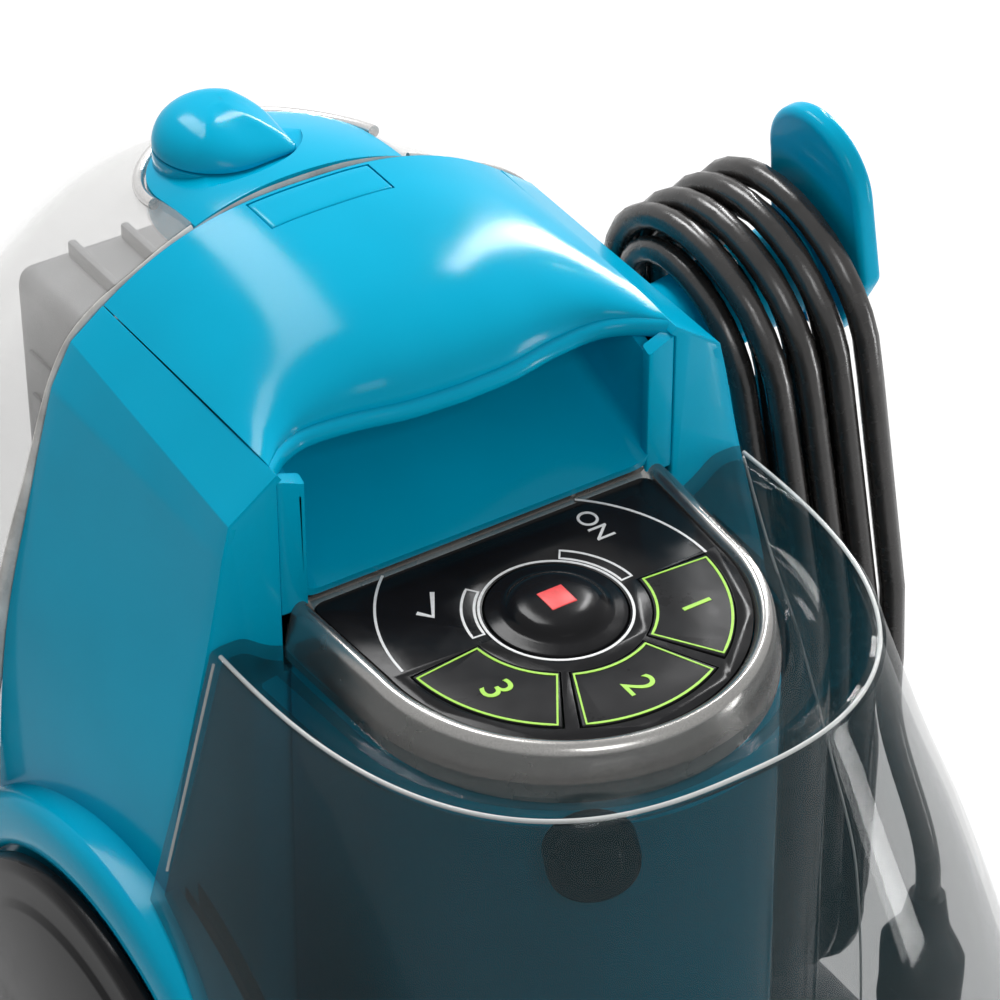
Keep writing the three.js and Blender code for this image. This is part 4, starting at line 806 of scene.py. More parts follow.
class OBJECT_OT_extractor_grip(PieceOperator):
    """Hand well under the cover's lip, with its jambs"""

    bl_idname = "object.extractor_grip"
    bl_label = "Hand well"

    half, front, back = 47.5, -47.6, 8.2  # the well's room, in x and in y
    bottom, top = 283.6, 346
    climb = 0.36  # how steeply its floor rises to the rear

    def well(self):
        well = block("grip_well", (-self.half, self.front, self.bottom), (self.half, self.back, self.top))
        rear_floor = (self.bottom + self.climb * (self.back - self.front)) * MM
        for vertex in well.data.vertices:
            if vertex.co.y > 0 and vertex.co.z < rear_floor:
                vertex.co.z = rear_floor
        edit_faces(well, lambda face: face.normal.z > 0.9 or face.normal.y < -0.9)
        bpy.ops.mesh.delete(type="FACE")
        bpy.ops.mesh.select_all(action="SELECT")
        bpy.ops.mesh.flip_normals()
        done()
        rounded(well, 4, 5)
        return apply_modifier(well, "SOLIDIFY", thickness=2.4 * MM, offset=-1)

    def jambs(self):
        inner, outer, low, high = self.half - 1.1, 53.6, 279.4, 318
        outline = [(inner, low), (outer, low), (outer, high), (inner, high)]
        right = rounded(plate("jamb", outline, "y", self.front, self.front + 3), 0.6, 2)
        return right, mirrored(right, "jamb_left")

    def roof(self):
        """All that lies over the cover's inner side, to cut off what would stand through it."""
        crown = self.size("crown")

        def under_cover(u, v):
            across, back = mix(-1.06, 1.06, u), mix(-0.16, 1.04, v)
            drop = 2.6 + 3.2 * max(1 - back, 0) ** 4
            return cover_point(across, back, crown) - Vector((0, 0, drop))

        return extruded(shaped_grid("roof", 40, 24, under_cover), (0, 0, 80))

    def execute(self, context):
        well = self.well()
        right, left = self.jambs()
        roof = self.roof()
        combined(well, copied(roof, "roof_cut"))
        roof.data.transform(Matrix.Translation((0, 0, 3.4 * MM)))  # the jambs reach further up
        for jamb in (right, left):
            combined(jamb, copied(roof, "roof_cut"))
        bpy.data.objects.remove(roof)
        finished(joined(well, right, left), "machine", "teal", ["handle_well"])
        return {"FINISHED"}


class OBJECT_OT_extractor_pedestal(PieceOperator):
    """Pedestal that carries the control panel inside the front tank, with its level-sensor boss"""

    bl_idname = "object.extractor_pedestal"
    bl_label = "Panel pedestal"

    column = [(SEAT, 10), (140, 8.6), (200, 7.8), (240, 7.3), (256, 7)]  # height, growth of the D
    collar = [(16.4, 6.9), (14.2, 6.6), (13, 6), (12.5, 5)]  # depth below the panel, growth of the D
    boss_swing = math.radians(-25.5)  # how far the boss stands round the pedestal from its middle

    def pedestal(self):
        def outline(grow):
            return d_outline(grow, HOUSING_FRONT - 0.4, 2, RING_Y)

        tilt = math.tan(PANEL_TILT)
        rings = [at_height(outline(grow), z) for z, grow in self.column]
        for drop, grow in self.collar:
            rings.append([(x, y, PANEL.z - drop + (y - PANEL.y) * tilt) for x, y in outline(grow)])
        return ring_surface("pedestal", rings, ends=True)

    def boss(self):
        profile = [
            (0, -2.6), (3, -2.4), (5.4, -1.6), (6.6, -0.4), (7, 0.6), (8, 0.2), (9.4, -0.6), (10.3, 0),
            (10.7, 1.4), (10.7, 9), (0, 9),
        ]
        boss = turned("boss", profile, (0, RING_Y - 58, 252), "y", 64)
        middle = Matrix.Translation((0, RING_Y * MM, 0))
        boss.data.transform(middle @ Matrix.Rotation(self.boss_swing, 4, "Z") @ middle.inverted())
        return boss

    def execute(self, context):
        # The pedestal takes the darker copy of the teal: painted shade inside the tank.
        finished(self.pedestal(), "machine", "deep_teal", ["panel_pedestal"])
        finished(self.boss(), "machine", "black", ["sensor_boss"])
        return {"FINISHED"}


class OBJECT_OT_extractor_panel(PieceOperator):
    """Silver bezel, gloss face, stop button and programme keys with plain generic marks"""

    bl_idname = "object.extractor_panel"
    bl_label = "Control panel"

    spans = ((-2, -56), (-62, -116), (-122, -176))  # where each key starts and ends on the ring, in degrees
    key_inner, key_outer, key_gap = 22, 40.4, 0.3
    ring_middle = (0, -RING_DEPTH, 0)

    def bezel(self):
        profile = [  # growth of the panel's D, height over its face
            (7.0, -12), (7.0, -9.6), (6.9, -8.6), (6.2, -5.2), (5.6, -2.6), (5.3, -0.9), (4.8, 0.5),
            (4.0, 1.4), (3.0, 1.85), (2.0, 1.7), (1.2, 1.1), (0.7, 0.35),
        ]
        rings = [at_height(d_outline(grow, -0.3, 3.5, -RING_DEPTH, 90), z) for grow, z in profile]
        rings += [at_height(d_outline(0.3, -2.9, 3, -RING_DEPTH, 90), z) for z in (-0.6, -3)]
        return on_panel(walled(ring_surface("bezel", rings), 1.2))

    def face(self):
        face = plate("panel_plate", d_outline(0, -3.2, 3, -RING_DEPTH, 90), "z", -2.4, 0)
        combined(face, rod("stop_hole", 16.8, -5, 5, self.ring_middle, steps=90))
        slack = math.degrees(self.key_gap / self.key_inner)
        inner, outer = self.key_inner - self.key_gap, self.key_outer + self.key_gap
        for high, low in self.spans:
            combined(face, plate("key_hole", sector(inner, outer, low - slack, high + slack), "z", -5, 5))
        return on_panel(rounded(face, 0.25, 2))

    def lines(self):
        """White arcs round the button and along the edge, with a lamp's word and a tick."""
        width = self.size("line")
        made = [ribbon("line_ring", arc(0, -RING_DEPTH, 17.6, 0, 360, 90)[:-1], width, closed=True)]
        for start, end in ((54, 3), (176, 128.6)):
            made.append(ribbon("line_block", sector(18.6, 21.5, start, end), width, closed=True))
        for start, end in ((50, -1), (180, 131)):
            made.append(ribbon("line_outer", arc(0, -RING_DEPTH, 41, start, end, 30), width))
        made.append(ribbon("tick", [(-27.5, -18), (-25, -21), (-20.5, -13.5)], 1.1))
        made.append(self.letters("power_word", "ON", 7.2, (24.5, -12.5)))
        return on_panel(joined(*made))

    def letters(self, name, text, size, place, height=0):
        """Letters printed on the panel, to be read from the machine's left."""
        words = added(name, bpy.ops.object.text_add)
        words.data.body = text
        words.data.size = size * MM
        words.data.align_x = words.data.align_y = "CENTER"
        words.data.extrude = INK / 2 * MM
        bpy.ops.object.convert(target="MESH")
        words = bpy.context.object
        spot = Vector((*place, height + INK / 2 + 0.01)) * MM
        words.data.transform(Matrix.Translation(spot) @ Matrix.Rotation(math.radians(-90), 4, "Z"))
        return words

    def stop_button(self):
        dome = [
            (0, -4), (16.5, -4), (16.5, -0.2), (16.2, 0.25), (15.2, 0.55), (13.4, 0.75), (12.2, 1.1),
            (11.4, 1.8), (10.6, 2.6), (9, 3.2), (6, 3.6), (3, 3.75), (0, 3.8),
        ]
        stop = turned("stop_dome", dome, self.ring_middle, steps=96)
        finished(on_panel(stop), "stop", "black", ["stop_button"])
        half, low, high = 3.4, 3.3, 3.86
        square = block("stop_square", (-half, -RING_DEPTH - half, low), (half, -RING_DEPTH + half, high))
        finished(on_panel(rounded(square, 0.5, 3)), "stop", "red")

    def key(self, number, high, low):
        """One key with its green outline and number."""
        top, body = self.size("key_height"), f"key_{number}"
        outline = sector(self.key_inner, self.key_outer, low, high)
        key = rounded(plate(f"{body}_cap", outline, "z", -4, top), 0.3, 3)
        finished(on_panel(key), body, "key_black", [f"program_key_{number}"])
        outline = sector(self.key_inner + 0.9, self.key_outer - 0.6, low + 1.6, high - 1.6)
        middle, out = math.radians((high + low) / 2), 31.5
        spot = (out * math.cos(middle), -RING_DEPTH + out * math.sin(middle))
        frame_line = ribbon(f"{body}_mark", outline, self.size("line"), top, closed=True)
        mark = joined(frame_line, self.letters("figure", str(number), 11, spot, top))
        finished(on_panel(mark), body, "green")

    def execute(self, context):
        finished(self.bezel(), "machine", "silver", ["panel_bezel"])
        finished(self.face(), "machine", "black", ["panel_face"])
        finished(self.lines(), "machine", "white")
        self.stop_button()
        for number, span in enumerate(self.spans, 1):
            self.key(number, *span)
        return {"FINISHED"}


SOLUTION_LEVELS = [  # height over the panel: half width, reach to the front, where it is widest
    (SEAT_RISE, 119, 148, 46), (DECK_RISE + 5, 121, 150, 46), (-150, 115, 146, 44),
    (-110, 105, 138, 38), (-64, 92, 127, 26), (-36, 83, 118, 14), (-3.4, 73.5, 105, 9),
]
DISH = [  # the tank's dished top: distance from the middle of the ring, height over the panel
    (40, -8.5), (55, -8.5), (59, -8.2), (63, -7), (66.5, -4.8), (69.5, -2.2), (71.6, -1.0), (75, -0.8),
    (200, -0.8),
]
POCKET_WALL = [  # the wall round the pedestal: growth of the panel's D, height over the panel
    (8.6, -10.2), (9.4, -12.8), (15.4, -13.8), (15.9, -20), (16.4, -70), (17.6, -140),
    (18.8, SEAT_RISE),
]


class OBJECT_OT_extractor_solution_tank(PieceOperator):
    """Clear front tank that wraps round the pedestal, dished towards the bezel, with its foot valve"""

    bl_idname = "object.extractor_solution_tank"
    bl_label = "Front tank and valve"

    side = 0.1  # share of the outline that runs from the rear corner to where the tank is widest
    ridge = -3.4  # the top edge's height over the panel
    foot = SEAT_RISE  # the underside's
    shoulder = -13.8  # that of the step over the pedestal's collar
    behind = 4  # how far the tank stays in front of the panel's back edge
    power = 2.6  # how square its outline is

    def outer(self, rise, share, inset):
        """The outline at a height: share runs from the left rear corner round the front to the right one."""
        columns = ([(row[0], row[k]) for row in SOLUTION_LEVELS] for k in (1, 2, 3))
        half, reach, widest = (flowing(column, rise) for column in columns)
        back, centre = PANEL.y - self.behind - inset, PANEL.y - widest
        half, length = half - inset, reach - widest - inset
        if self.side <= share <= 1 - self.side:
            turn = 0.5 + 0.5 * (share - self.side) / (1 - 2 * self.side)
            x, y = superellipse(half, length, self.power, turn)
            return x, centre + y
        y = mix(back, centre, min(share, 1 - share) / self.side)
        x = half * (1 - (max(y - centre, 0) / (length + 40)) ** self.power) ** (1 / self.power)
        return math.copysign(x, share - 0.5), y

    def pocket(self, grow, share, inset):
        """The line on the inner side of the C that lies across from a place on its outer side."""
        x, y = self.outer(self.ridge, share, 0)
        radius = RING_RADIUS + grow
        if y < RING_Y:
            out = Vector((x, y - RING_Y)).normalized() * radius
            return out.x, RING_Y + out.y
        y = min(y, PANEL.y - self.behind - inset)
        return math.copysign(radius + (PANEL_HALF - RING_RADIUS) * (y - RING_Y) / RING_DEPTH, x), y

    def section(self, share, inset):
        """The closed line round the tank's cross-section at one place along its C."""
        lowest, rows = self.foot + inset, 22
        rises = [mix(self.foot, self.ridge, (i / rows) ** 0.9) for i in range(rows + 1)]
        line = [(*self.outer(rise, share, inset), max(rise, lowest)) for rise in rises]
        ridge, lip = self.outer(self.ridge, share, inset), self.pocket(8.4 + inset * 0.8, share, inset)
        for pull, rise in ((0.012, -2.2), (0.05, -1.3)):
            line.append((*between(ridge, lip, pull), rise - inset))
        for i in range(1, 15):
            x, y = between(ridge, lip, mix(0.1, 1, i / 14))
            line.append((x, y, flowing(DISH, math.hypot(x, y - RING_Y)) - inset * 1.05))
        for grow, rise in POCKET_WALL:
            above = rise > self.shoulder
            low = rise - inset * 0.2 if above else min(rise, self.shoulder - inset)
            line.append((*self.pocket(grow + inset, share, inset), max(low, lowest)))
        return [(x, y, PANEL.z + z) for x, y, z in line]

    def body(self, name, inset, columns=96):
        """The tank as a solid, or its hollow as one when inset, with the drum's room taken out."""
        sections = [self.section(i / columns, inset) for i in range(columns + 1)]
        solid = ring_surface(name, sections, ends=True)
        radius, (out, inner) = DRUM_RADIUS + DRUM_GAP + inset, DRUM_ROOM
        notch = rod("notch", radius, out - inset, inner + inset, HUB, "x", 120)
        low = (HUB.x + out - inset, HUB.y - radius, 0)
        high = (HUB.x + inner + inset, HUB.y + radius, HUB.z)
        combined(notch, block("notch_foot", low, high), "UNION")
        return combined(solid, notch)

    def beads(self):
        """Light beads on the tank's ridge and on its two rear edges: painted highlight lines."""
        places = [mix(0.03, 0.97, i / 160) for i in range(161)]
        ridge = [(*self.outer(self.ridge, share, 1.6), PANEL.z - 1.5) for share in places]
        made = [bead("tank_ridge", ridge, 0.55)]
        over_hub, foot = -60, int(DECK_RISE) + 2
        for share, low in ((0.012, over_hub), (0.988, foot)):
            edge = [(*self.outer(rise, share, 0.7), PANEL.z + rise) for rise in range(-4, low, -4)]
            made.append(bead("tank_edge", edge, 0.35))
        return joined(*made)

    def execute(self, context):
        tank = self.body("front_tank", 0)
        combined(tank, self.body("front_hollow", self.size("tank_wall")))
        combined(tank, rod("valve_hole", 14, 40, 76, VALVE, steps=64))
        finished(tank, "solution", "smoke", ["solution_tank"], 30)
        # The light beads paint the highlights along the tank's ridge and its rear edges.
        finished(self.beads(), "solution", "bead")
        profile = [
            (0, 38), (4.4, 38), (5, 38.6), (5, 50), (10, 51.6), (13.4, 55.6), (13.6, 56.4), (13.6, 58),
            (12.6, 58.6), (12.6, 60), (13.6, 60.6), (13.6, 64.4), (12.8, 65.2), (8.6, 65.6), (8, 66.4),
            (7.4, 68), (0, 68),
        ]
        finished(turned("foot_valve", profile, VALVE), "solution", "grey", ["tank_valve"])
        return {"FINISHED"}


RECOVERY_ARCH = [  # the dome's right half where it meets the housing: (x, height over the panel)
    (0, 58.5), (12, 58), (24, 55.6), (36, 51.2), (46, 46.2), (55.5, 41.4), (63, 35.2), (68, 27), (71.5, 18),
    (77, 1), (84, -19), (92, -46), (100, -84), (108, -130), (115, -180), (118, DECK_RISE + 0.5),
]
RECOVERY_SHOULDERS = [  # further back its shoulders fall away and its flanks swell
    (0, 57.5), (12, 56.6), (24, 52.6), (35, 46), (44.5, 38.5), (53.5, 30), (63, 20), (71.5, 10), (79, -1),
    (88, -18), (95.5, -37), (102, -60), (107, -93), (111.5, -136), (116, -182), (118, DECK_RISE + 0.5),
]
SHOULDER_REACH = 50  # from the one to the other
RECOVERY_ROUNDNESS = 2.14
RECOVERY_Y = HOUSING_REAR + 3.6
RECOVERY_LENGTH = 166
CAP_FRONT = HOUSING_REAR + 2.2
CAP_HALF, CAP_LENGTH = 28.6, 45
KNOB = Vector((-7.5, CAP_FRONT + 26.4, PANEL.z + 56.5))
OVER_CAP = PANEL.z + 90  # higher than all that is cut to the cap's outline


def cap_outline(grow, steps=40):
    half = CAP_HALF + grow
    sides = arc(0, CAP_FRONT + CAP_LENGTH - CAP_HALF, half, 0, 180, steps)
    return [(half, CAP_FRONT - grow), *sides, (-half, CAP_FRONT - grow)]


def arch_point(y, share, inset=0, reach=RECOVERY_LENGTH):
    """A point on the dome's right half: share runs from its top down to the deck."""
    behind = clamp((y - RECOVERY_Y) / SHOULDER_REACH)
    behind = behind * behind * (3 - 2 * behind)
    depth = clamp((y - RECOVERY_Y) / reach)
    scale = (1 - depth**RECOVERY_ROUNDNESS) ** (1 / RECOVERY_ROUNDNESS)

    def at(place):
        x, rise = between(along(RECOVERY_ARCH, place), along(RECOVERY_SHOULDERS, place), behind)
        return Vector((x * scale, DECK_RISE + (rise - DECK_RISE) * scale))

    run = at(min(share + 0.01, 1)) - at(max(share - 0.01, 0))
    point = at(share)
    if run.length > 0:
        run.normalize()
        point += Vector((run.y, -run.x)) * inset
    return point


def dome_height(x, y):
    """How high the dome stands at a place."""
    last = arch_point(y, 0)
    for i in range(1, 81):
        point = arch_point(y, i / 80)
        if point.x >= abs(x):
            return PANEL.z + mix(last.y, point.y, (abs(x) - last.x) / max(point.x - last.x, 1e-6))
        last = point
    return PANEL.z + last.y


class OBJECT_OT_extractor_recovery_tank(PieceOperator):
    """Clear rear dome with its seal and the ribbed separator box that shows through it"""

    bl_idname = "object.extractor_recovery_tank"
    bl_label = "Rear tank"

    # Where along its length the dome's arches stand, closer together as it turns in to its rear pole.
    shares = [0.01 * k for k in range(0, 50, 4)]
    shares += [0.54, 0.6, 0.67, 0.74, 0.8, 0.85, 0.89, 0.925, 0.952, 0.973, 0.988, 0.996, 0.9995]

    def arch(self, y, inset, steps=96):
        ring = []
        for i in range(steps + 1):
            side = 2 * i / steps - 1
            x, z = arch_point(y, abs(side) ** 0.9, inset, RECOVERY_LENGTH - inset)
            ring.append((math.copysign(max(x, 0), side), y, PANEL.z + max(z, SEAT_RISE + inset)))
        return ring

    def dome(self, name, inset, front):
        length = RECOVERY_LENGTH - inset
        rings = [self.arch(RECOVERY_Y + share * length, inset) for share in self.shares]
        rings[0] = [(x, front, z) for x, _, z in rings[0]]
        return ring_surface(name, rings, ends=True)

    def tank(self):
        wall = self.size("tank_wall")
        tank = self.dome("rear_dome", 0, RECOVERY_Y)
        combined(tank, self.dome("rear_hollow", wall, RECOVERY_Y + wall))
        combined(tank, plate("cap_room", cap_outline(0.3), "z", PANEL.z + 42, OVER_CAP))
        combined(tank, rod("throat", 20, 20, 50, (0, 0, 240), "y", 64))
        return combined(tank, rod("hub_room", DRUM_RADIUS + DRUM_GAP, *DRUM_ROOM, HUB, "x", 120))

    def gasket(self):
        """A bead that stands a little proud in the seam between the housing and the dome."""
        def around(u, v):
            side, turn = 2 * u - 1, 2 * math.pi * v
            out = 3.2 * math.copysign(abs(math.cos(turn)) ** 0.8, math.cos(turn))
            x, z = arch_point(RECOVERY_Y, abs(side) * 0.8, 2.4 - out)
            return math.copysign(max(x, 0), side), HOUSING_REAR + 1.8 + 1.4 * math.sin(turn), PANEL.z + z

        seal = shaped_grid("tank_gasket", 160, 16, around, closed=True, ends=True)
        return combined(seal, plate("seal_room", cap_outline(1.2), "z", PANEL.z + 39, OVER_CAP))

    def separator(self):
        """A grey box with ribs on its top and slats on its side, on a leg and a cross bar."""
        half, wall, top = 44, 2.5, PANEL.z + 12
        front, back = RECOVERY_Y + 14, RECOVERY_Y + 68
        box = rounded(block("separator", (-half, front, DECK_TOP + 60), (half, back, top)), 5, 4)
        low, high = (wall - half, front + wall, DECK_TOP + 54), (half - wall, back - wall, top - wall)
        combined(box, rounded(block("separator_room", low, high), 3, 3))
        parts = []
        for i in range(5):
            x = -30 + 15 * i
            rib = block(f"rib_{i}", (x, front + 4, top - 1), (x + 2.4, back - 4, top + 4))
            parts.append(rounded(rib, 0.8, 2))
        for i in range(6):
            z = top - 26 - 13 * i
            slat = block(f"slat_{i}", (-half - 1, front + 8, z), (-half + 0.6, back - 8, z + 5))
            parts.append(rounded(slat, 0.5, 2))
        foot, width = DECK_TOP + 3.4, (front + 20, front + 32)
        leg = block("separator_leg", (-6, width[0], foot), (6, width[1], top - 2))
        bar = block("separator_bar", (1 - half, width[0], 126), (half - 1, width[1], 130))
        return joined(box, *parts, rounded(leg, 1, 2), rounded(bar, 0.8, 2))

    def execute(self, context):
        finished(self.tank(), "recovery", "smoke_light", ["recovery_tank"], 30)
        finished(self.gasket(), "machine", "seal", ["tank_seal"])
        # The bead round the cap is silver on the clear dome: a painted highlight along the cap's rim.
        rim = [(x, y, dome_height(x, y) + 0.2) for x, y in cap_outline(1.9, 60) if y > RECOVERY_Y]
        finished(bead("cap_rim", rim, 1.5), "recovery", "rim")
        finished(self.separator(), "recovery", "grey", ["separator_box"])
        return {"FINISHED"}


class OBJECT_OT_extractor_cap(PieceOperator):
    """D-shaped tank cap with its stopper, and the beaked knob that turns on it"""

    bl_idname = "object.extractor_cap"
    bl_label = "Tank cap and knob"

    crest = 59  # the height of the cap's front over the panel, in its middle
    side_fall, rear_fall = 5.4, 9  # how much lower its sides and its rear are
    knob_reach, knob_radius = 20, 15.6  # to the beak's tip, and of the round part
    beak_turn = math.radians(-44)

    def cap(self):
        def top(u, v):
            x, y = mix(-1, 1, u) * (CAP_HALF + 1), CAP_FRONT - 1 + (CAP_LENGTH + 2) * v
            rise = self.crest - self.side_fall * abs(x / CAP_HALF) ** 2.2 - self.rear_fall * v**2
            return x, y, PANEL.z + rise

        cap = extruded(shaped_grid("cap_plate", 32, 32, top), (0, 0, -30))
        combined(cap, plate("cap_shape", cap_outline(0), "z", PANEL.z + 42.4, OVER_CAP), "INTERSECT")
        rounded(cap, 1, 4, 40)
        radius = self.knob_radius
        seat = [(0, -8), (radius, -8), (radius, -0.7), (radius - 0.4, -0.4), (0, -0.4)]
        pad = turned("knob_seat", seat, KNOB, steps=80)
        combined(pad, plate("pad_shape", cap_outline(-0.3), "z", PANEL.z + 30, OVER_CAP), "INTERSECT")
        combined(cap, rod("sweep", self.knob_reach + 0.6, -0.3, 20, KNOB, steps=96))
        stopper = [
            (0, -21.2), (13, -21.2), (14.4, -20), (14.4, -18.4), (13.4, -17.6), (14.4, -16.8), (14.4, -13.4),
            (0, -13.4),
        ]
        return joined(cap, pad, turned("stopper", stopper, (0, CAP_FRONT + 26, KNOB.z), steps=64))

    def knob_outline(self):
        """A circle drawn out to a narrow beak by two tangents."""
        tip, reach = self.beak_turn, self.knob_reach
        spread = math.acos(self.knob_radius / reach)
        start, end = math.degrees(tip + spread), math.degrees(tip - spread) + 360
        outline = [Vector(spot) for spot in arc(0, 0, self.knob_radius, start, end, 84)]
        point = Vector((math.cos(tip), math.sin(tip))) * (reach - 0.6)
        across = Vector((-math.sin(tip), math.cos(tip))) * 1.3
        outline += [outline[-1].lerp(point - across, t) for t in (0.4, 0.75, 0.94)]
        outline += [point - across * 0.5, point + across * 0.5]
        return outline + [(point + across).lerp(outline[0], t) for t in (0.06, 0.25, 0.6)]

    def knob(self):
        tip, height, peak = self.beak_turn, self.size("knob_height"), Vector((1.3, 5.7))
        outline = self.knob_outline()
        levels = [  # size of the outline, height
            (0.975, 0), (1, 0.4), (1, 1.3), (0.985, 2.4), (0.96, 3.5), (0.92, 4.6), (0.87, 5.6), (0.8, 6.5),
            (0.71, 7.35), (0.6, 8.05), (0.48, height - 0.45), (0.34, height - 0.16), (0.18, height),
        ]
        rings = []
        for size, rise in levels:
            ring = []
            for spot in outline:
                x, y = peak * (1 - size) + spot * size
                run = max((x * math.cos(tip) + y * math.sin(tip)) / self.knob_reach, 0)
                off = (-x * math.sin(tip) + y * math.cos(tip)) / self.knob_radius - 0.12
                crest = 0.9 * (1 - size) * math.exp(-((off / 0.16) ** 2)) * min(run * 3, 1)
                ring.append((KNOB.x + x, KNOB.y + y, KNOB.z + rise * (1 - 0.7 * run) + crest))
            rings.append(ring)
        grip = ring_surface("knob_grip", rings, ends=True)
        return joined(grip, rod("knob_stem", 6, -10, 1, KNOB, steps=48))

    def execute(self, context):
        finished(self.cap(), "cap", "teal", ["tank_cap"])
        finished(self.knob(), "knob", "teal", ["lock_knob"], 40)
        return {"FINISHED"}


class OBJECT_OT_extractor_hub(PieceOperator):
    """Black disc set into the drum on the left side"""

    bl_idname = "object.extractor_hub"
    bl_label = "Hub cover"

    def execute(self, context):
        profile = [
            (0, -1.2), (58.6, -1.2), (59.4, -1.0), (60.6, -0.2), (61.4, 0), (67.6, 0), (69.4, 0.3),
            (70.7, 1.1), (71.2, 2.4), (71.3, 4.6), (70.8, 5), (0, 5),
        ]
        disc = turned("hub_disc", profile, HUB, "x", 128)
        joined(disc, rod("hub_boss", 12, 4.6, 8.7, HUB, "x", 48))
        finished(disc, "machine", "black", ["hub_cover"])
        return {"FINISHED"}


# ---------------------------------------------------------------- cord wrap
CORD_LANES = 4  # turns side by side, in each of the two layers
CORD_PITCH = 7.6  # from one lane to the next
LAYER_STEP = 7.7  # from the inner layer to the outer one
INNER_TURN = 25  # radius of the inner layer's turns
CORD_LEAN = 0.16  # the winding leans out by this much per millimetre down
PLUG = Vector((131.5, -62.5, 118))  # where the cord enters its plug
UP = Vector((0, 0, 1))


def winding_point(turns, radius, lane):
    """A place on the winding: down the front, round the lower hook, up the rear and over the upper hook."""
    share = turns % 1
    top = (40 - 2 * lane, -2 + 3 * lane)  # the middle of the upper turn, in y and z from the panel
    low = (34 - 0.5 * lane, -172)  # and of the lower one
    if share < 1 / 6:
        y, z = between(top, low, share * 6)
        y -= radius
    elif share < 1 / 2:
        turn = math.pi + (share - 1 / 6) * 3 * math.pi
        y, z = low[0] + radius * math.cos(turn), low[1] + radius * math.sin(turn)
    elif share < 2 / 3:
        y, z = between(low, top, (share - 0.5) * 6)
        y += radius
    else:
        turn = (share - 2 / 3) * 3 * math.pi
        y, z = top[0] + radius * math.cos(turn), top[1] + radius * math.sin(turn)
    x = 78 + CORD_LEAN * (45 - max(z, -75)) + lane * CORD_PITCH
    return Vector((x, PANEL.y + y, PANEL.z + z))


def winding(steps=48):
    """The inner layer from its outermost lane inwards, then the outer layer back out over it."""
    start = 0.8 / 6  # the cord joins the winding low down on its front
    short = steps // 24  # and leaves it a little before its last turn is full
    climb_turns = 0.5  # it climbs to the outer layer within half a turn
    points = []
    for i in range(2 * CORD_LANES * steps - short + 1):
        turns = i / steps
        climb = clamp((turns - CORD_LANES) / climb_turns + 0.5)
        radius = INNER_TURN + LAYER_STEP * climb
        points.append(winding_point(start + turns, radius, abs(CORD_LANES - turns)))
    return points


def sagging(start, end, x_span, y_span, count=16):
    """A gentle shift from one place to another while the cord runs down."""
    points = []
    for i in range(count + 1):
        t = i / count
        shares = [clamp((t - low) / (high - low)) for low, high in (x_span, y_span)]
        x, y = [(1 - math.cos(math.pi * share)) / 2 for share in shares]
        points.append(Vector((mix(start.x, end.x, x), mix(start.y, end.y, y), mix(start.z, end.z, t))))
    return points


def cord_path():
    """The whole cord, from the strain relief through the winding to the plug."""
    wound = winding()
    lead = sagging(OUTLET - UP * 0.3, wound[0] + UP * 7, (0.02, 0.72), (0.2, 1))
    tail = sagging(wound[-1] - UP * 7, PLUG + UP * 0.3, (0.05, 0.95), (0.05, 0.95))
    return lead + wound + tail


class OBJECT_OT_extractor_cord(PieceOperator):
    """Power cord wound on its two hooks, with its strain relief and plug"""

    bl_idname = "object.extractor_cord"
    bl_label = "Power cord"

    def relief(self):
        """A ribbed sleeve that widens upwards to its collar."""
        profile = [(0, 0), (4.7, 0), (4.9, 0.5)]
        for i in range(4):
            low, width = 2.2 + 4.4 * i, 4.9 + 0.35 * i
            profile += [(width, low), (width + 0.1, low + 2.6), (width - 0.9, low + 2.9)]
            profile += [(width - 0.9, low + 4.1), (width + 0.3, low + 4.4)]
        profile += [(6.4, 20.2), (8, 21), (8, 23.4), (7.6, 23.7), (5.1, 23.7), (5.1, 33), (0, 33)]
        return turned("cord_relief", profile, OUTLET, steps=48)

    def plug(self):
        levels = [  # half width, half depth, squareness, depth below the cord's end
            (5, 5, 2, 0), (5.4, 5.6, 2.2, 4), (6, 7, 2.4, 10), (7.6, 10.6, 2.8, 15), (8.4, 12.3, 3, 18),
            (8.5, 12.5, 3, 24), (8.2, 12.2, 3, 33), (8.5, 12.5, 3, 39), (8.3, 12.3, 3, 41.5),
            (7.6, 11.6, 3, 42),
        ]
        rings = []
        for half_x, half_y, power, drop in levels:
            ring = [superellipse(half_x, half_y, power, i / 48) for i in range(48)]
            rings.append([(PLUG.x + x, PLUG.y + y, PLUG.z - drop) for x, y in ring])
        return ring_surface("plug_body", rings, ends=True)

    def blade(self, side):
        middle, half, thick = PLUG.y + side * 6.35, 3.2, 0.8
        low, high = (PLUG.x - half, middle - thick, 59), (PLUG.x + half, middle + thick, 77)
        pin = rounded(block("plug_pin", low, high), 0.5, 3)
        return combined(pin, rod("pin_hole", 1.6, -3, 3, (PLUG.x, middle, 64), "y", 32))

    def execute(self, context):
        path, diameter = cord_path(), self.size("cord_diameter")
        cord = round_line("power_lead", path, diameter / 2, 3)
        seated(cord, "machine", "cord", ["power_cord", "cord_lead", "cord_tail"])
        relief = finished(self.relief(), "machine", "sleeve", ["strain_relief"])
        plug = finished(self.plug(), "machine", "key_black", ["plug"])
        pins = joined(self.blade(-1), self.blade(1))
        pins.name = "plug_blades"
        finished(pins, "machine", "brass")
        return {"FINISHED"}


